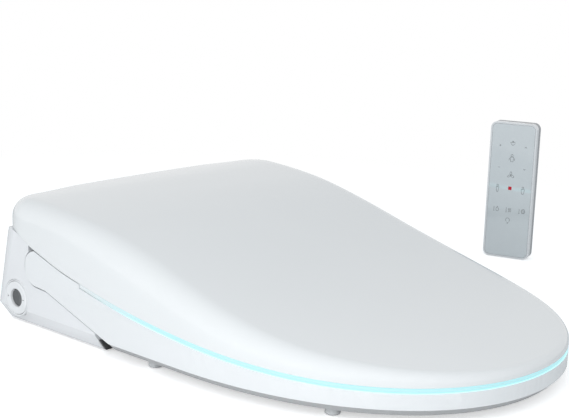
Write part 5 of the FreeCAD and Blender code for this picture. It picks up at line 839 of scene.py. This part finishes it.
def on_remote(depth):
    """Turns (width, height, rise) on a plane of the remote into the scene's frame."""
    c, s = math.cos(REMOTE_TURN), math.sin(REMOTE_TURN)

    def place(u, v, w):
        x, y = u, depth - w
        return REMOTE_X + x * c + y * s, REMOTE_Y - x * s + y * c, v

    return place


def arc(u, v, ru, rv, start, end, steps=20):
    return [(u + ru * math.cos(math.radians(start + (end - start) * i / steps)),
             v + rv * math.sin(math.radians(start + (end - start) * i / steps))) for i in range(steps + 1)]


def ring_line(u, v, ru, rv=None):
    points = arc(u, v, ru, rv or ru, 0, 360)
    return points[:-1] + points[:1]


def petal(u, v, turn):
    c, s = math.cos(turn), math.sin(turn)
    points = [(u + a * c - b * s, v + a * s + b * c) for a, b in arc(2.5, 0.0, 2.1, 1.15, 0, 360, 16)]
    return points[:-1] + points[:1]


def standing_figure(u, v, wide):
    coat = [(u - wide, v + 1.4), (u + wide, v + 1.4), (u + wide * 0.75, v - 2.2), (u + wide * 0.4, v - 5.0),
            (u - wide * 0.4, v - 5.0), (u - wide * 0.75, v - 2.2), (u - wide, v + 1.4)]
    return [ring_line(u, v + 3.4, 1.2), coat]


signs = [arc(-3.6, 153.5, 3.6, 3.0, 270, 350, 8), arc(3.6, 153.5, 3.6, 3.0, 270, 190, 8)]
signs += [[(-2.6, 149.4), (0.0, 147.0), (2.6, 149.4)], [(-0.9, 151.4), (0.0, 150.2), (0.9, 151.4)]]
signs += [[(-17.6, 145.8), (-14.8, 145.8)], [(-16.2, 144.4), (-16.2, 147.2)], [(-17.6, 117.6), (-14.8, 117.6)]]
signs += [[(15.6, 145.0), (16.9, 146.6), (18.2, 145.0)], [(15.6, 118.4), (16.9, 116.8), (18.2, 118.4)]]
signs += [ring_line(0.0, 134.0, 1.4), [(-2.2, 131.8), (2.2, 131.8), (1.5, 126.0), (-1.5, 126.0), (-2.2, 131.8)],
          [(-3.2, 130.6), (-3.6, 127.6)], [(3.2, 130.6), (3.6, 127.6)]]
signs += [petal(0.0, 108.5, math.radians(90 + 120 * k)) for k in range(3)]
signs += standing_figure(-16.2, 90.4, 1.7) + standing_figure(16.9, 90.4, 2.2)
for u in (-16.2, 0.0, 16.9):
    signs += [[(u - 2.8, 60.2), (u - 2.8, 66.2)], [(u - 3.5, 60.2), (u - 2.1, 60.2)]]
signs += [[(-14.6, 66.2), (-16.4, 62.6)] + arc(-14.6, 62.0, 1.8, 1.8, 180, 360, 10)
          + [(-12.8, 62.6), (-14.6, 66.2)]]
signs += [[(u, 60.4), (0.6 + u, 62.2), (u, 64.0), (0.6 + u, 65.8)] for u in (0.0, 1.4, 2.8)]
signs += [ring_line(19.2, 63.2, 2.3, 2.9), ring_line(19.2, 62.9, 1.3, 1.8)]
signs += [arc(0.0, 50.0, 2.6, 2.6, -55, 235, 18), [(-1.3, 46.6), (1.3, 46.6)], [(-0.9, 45.5), (0.9, 45.5)]]
sign_lines = printed_lines("remote_signs", signs, 0.42, INK, on_remote(REMOTE_FACE))
finish_piece(sign_lines, print_grey, "remote", "damper_black")
stop_red = plastic("stop_red", (0.60, 0.012, 0.03), 0.4, grain_scale=2600.0, grain_depth=0.05, cloud=0.1)
stop_key = printed_lines("remote_stop", [[(-2.2, 91.5), (2.2, 91.5)]], 4.4, INK, on_remote(REMOTE_FACE))
finish_piece(stop_key, stop_red, "remote", "damper_black")


def pieces_along_a_line():
    """Node tree: sets small bars, evenly spaced and all turned alike, on a line of edges."""
    tree, given = new_group(
        "pieces along a line",
        {"Geometry": "Geometry", "Count": "Int", "Bar Radius": "Float", "Bar Length": "Float",
         "Bar Turn": "Vector", "Finish": "Material"},
        {"Geometry": "Geometry"}, "GeometryNodeTree")
    line = add(tree, "GeometryNodeMeshToCurve", {0: given["Geometry"]})
    evenly = add(tree, "GeometryNodeResampleCurve", {0: line, "Count": given["Count"]})
    bar = add(tree, "GeometryNodeMeshCylinder",
              {"Vertices": 12, "Radius": given["Bar Radius"], "Depth": given["Bar Length"]})
    spin = add(tree, "FunctionNodeEulerToRotation", {0: given["Bar Turn"]})
    copies = add(tree, "GeometryNodeInstanceOnPoints", {"Points": evenly, "Instance": bar, "Rotation": spin})
    smooth = add(tree, "GeometryNodeSetShadeSmooth", {0: add(tree, "GeometryNodeRealizeInstances", {0: copies})})
    add(tree, "NodeGroupOutput",
        {0: add(tree, "GeometryNodeSetMaterial", {"Geometry": smooth, "Material": given["Finish"]})})
    return tree


grip_place = on_remote(REMOTE_DOOR)
grip_mesh = bpy.data.meshes.new("door_grip")
grip_mesh.from_pydata([Vector(grip_place(0.0, z, 0.0)) * MM for z in (60.0, 70.0)], [(0, 1)], [])
door_grip = placed("door_grip", grip_mesh)
grown(door_grip, pieces_along_a_line(), {"Count": 7, "Bar Radius": 0.5 * MM, "Bar Length": 16 * MM,
                                         "Bar Turn": (0.0, math.pi / 2, -REMOTE_TURN), "Finish": remote_back})
finish_piece(door_grip, remote_back, "remote_cover", "remote_grey")

# Inside the remote: two cells with a banded sleeve, and the board behind the glass.
BAND_FROM, SLEEVE, BAND = 0.054, (0.03, 0.04, 0.055, 1.0), (0.45, 0.26, 0.08, 1.0)
cell_sleeve, tree = new_material("cell_sleeve")
place = own_place(tree)
banded = reckon(tree, "GREATER_THAN", add(tree, "ShaderNodeSeparateXYZ", {0: place}).outputs["Z"], BAND_FROM)
scuff = noise(tree, place, 300.0)
shade(tree, blend(tree, banded, SLEEVE, BAND), ranged(tree, scuff, 0.22, 0.42), scuff, (0.05, MOULD_GRAIN),
      {"Metallic": 0.4})
key_board = printed("key_board", (0.02, 0.14, 0.13), (0.20, 0.34, 0.30), 220.0, 0.4)
dress(cell_sleeve, "remote_batteries")
dress(key_board, "remote_board")
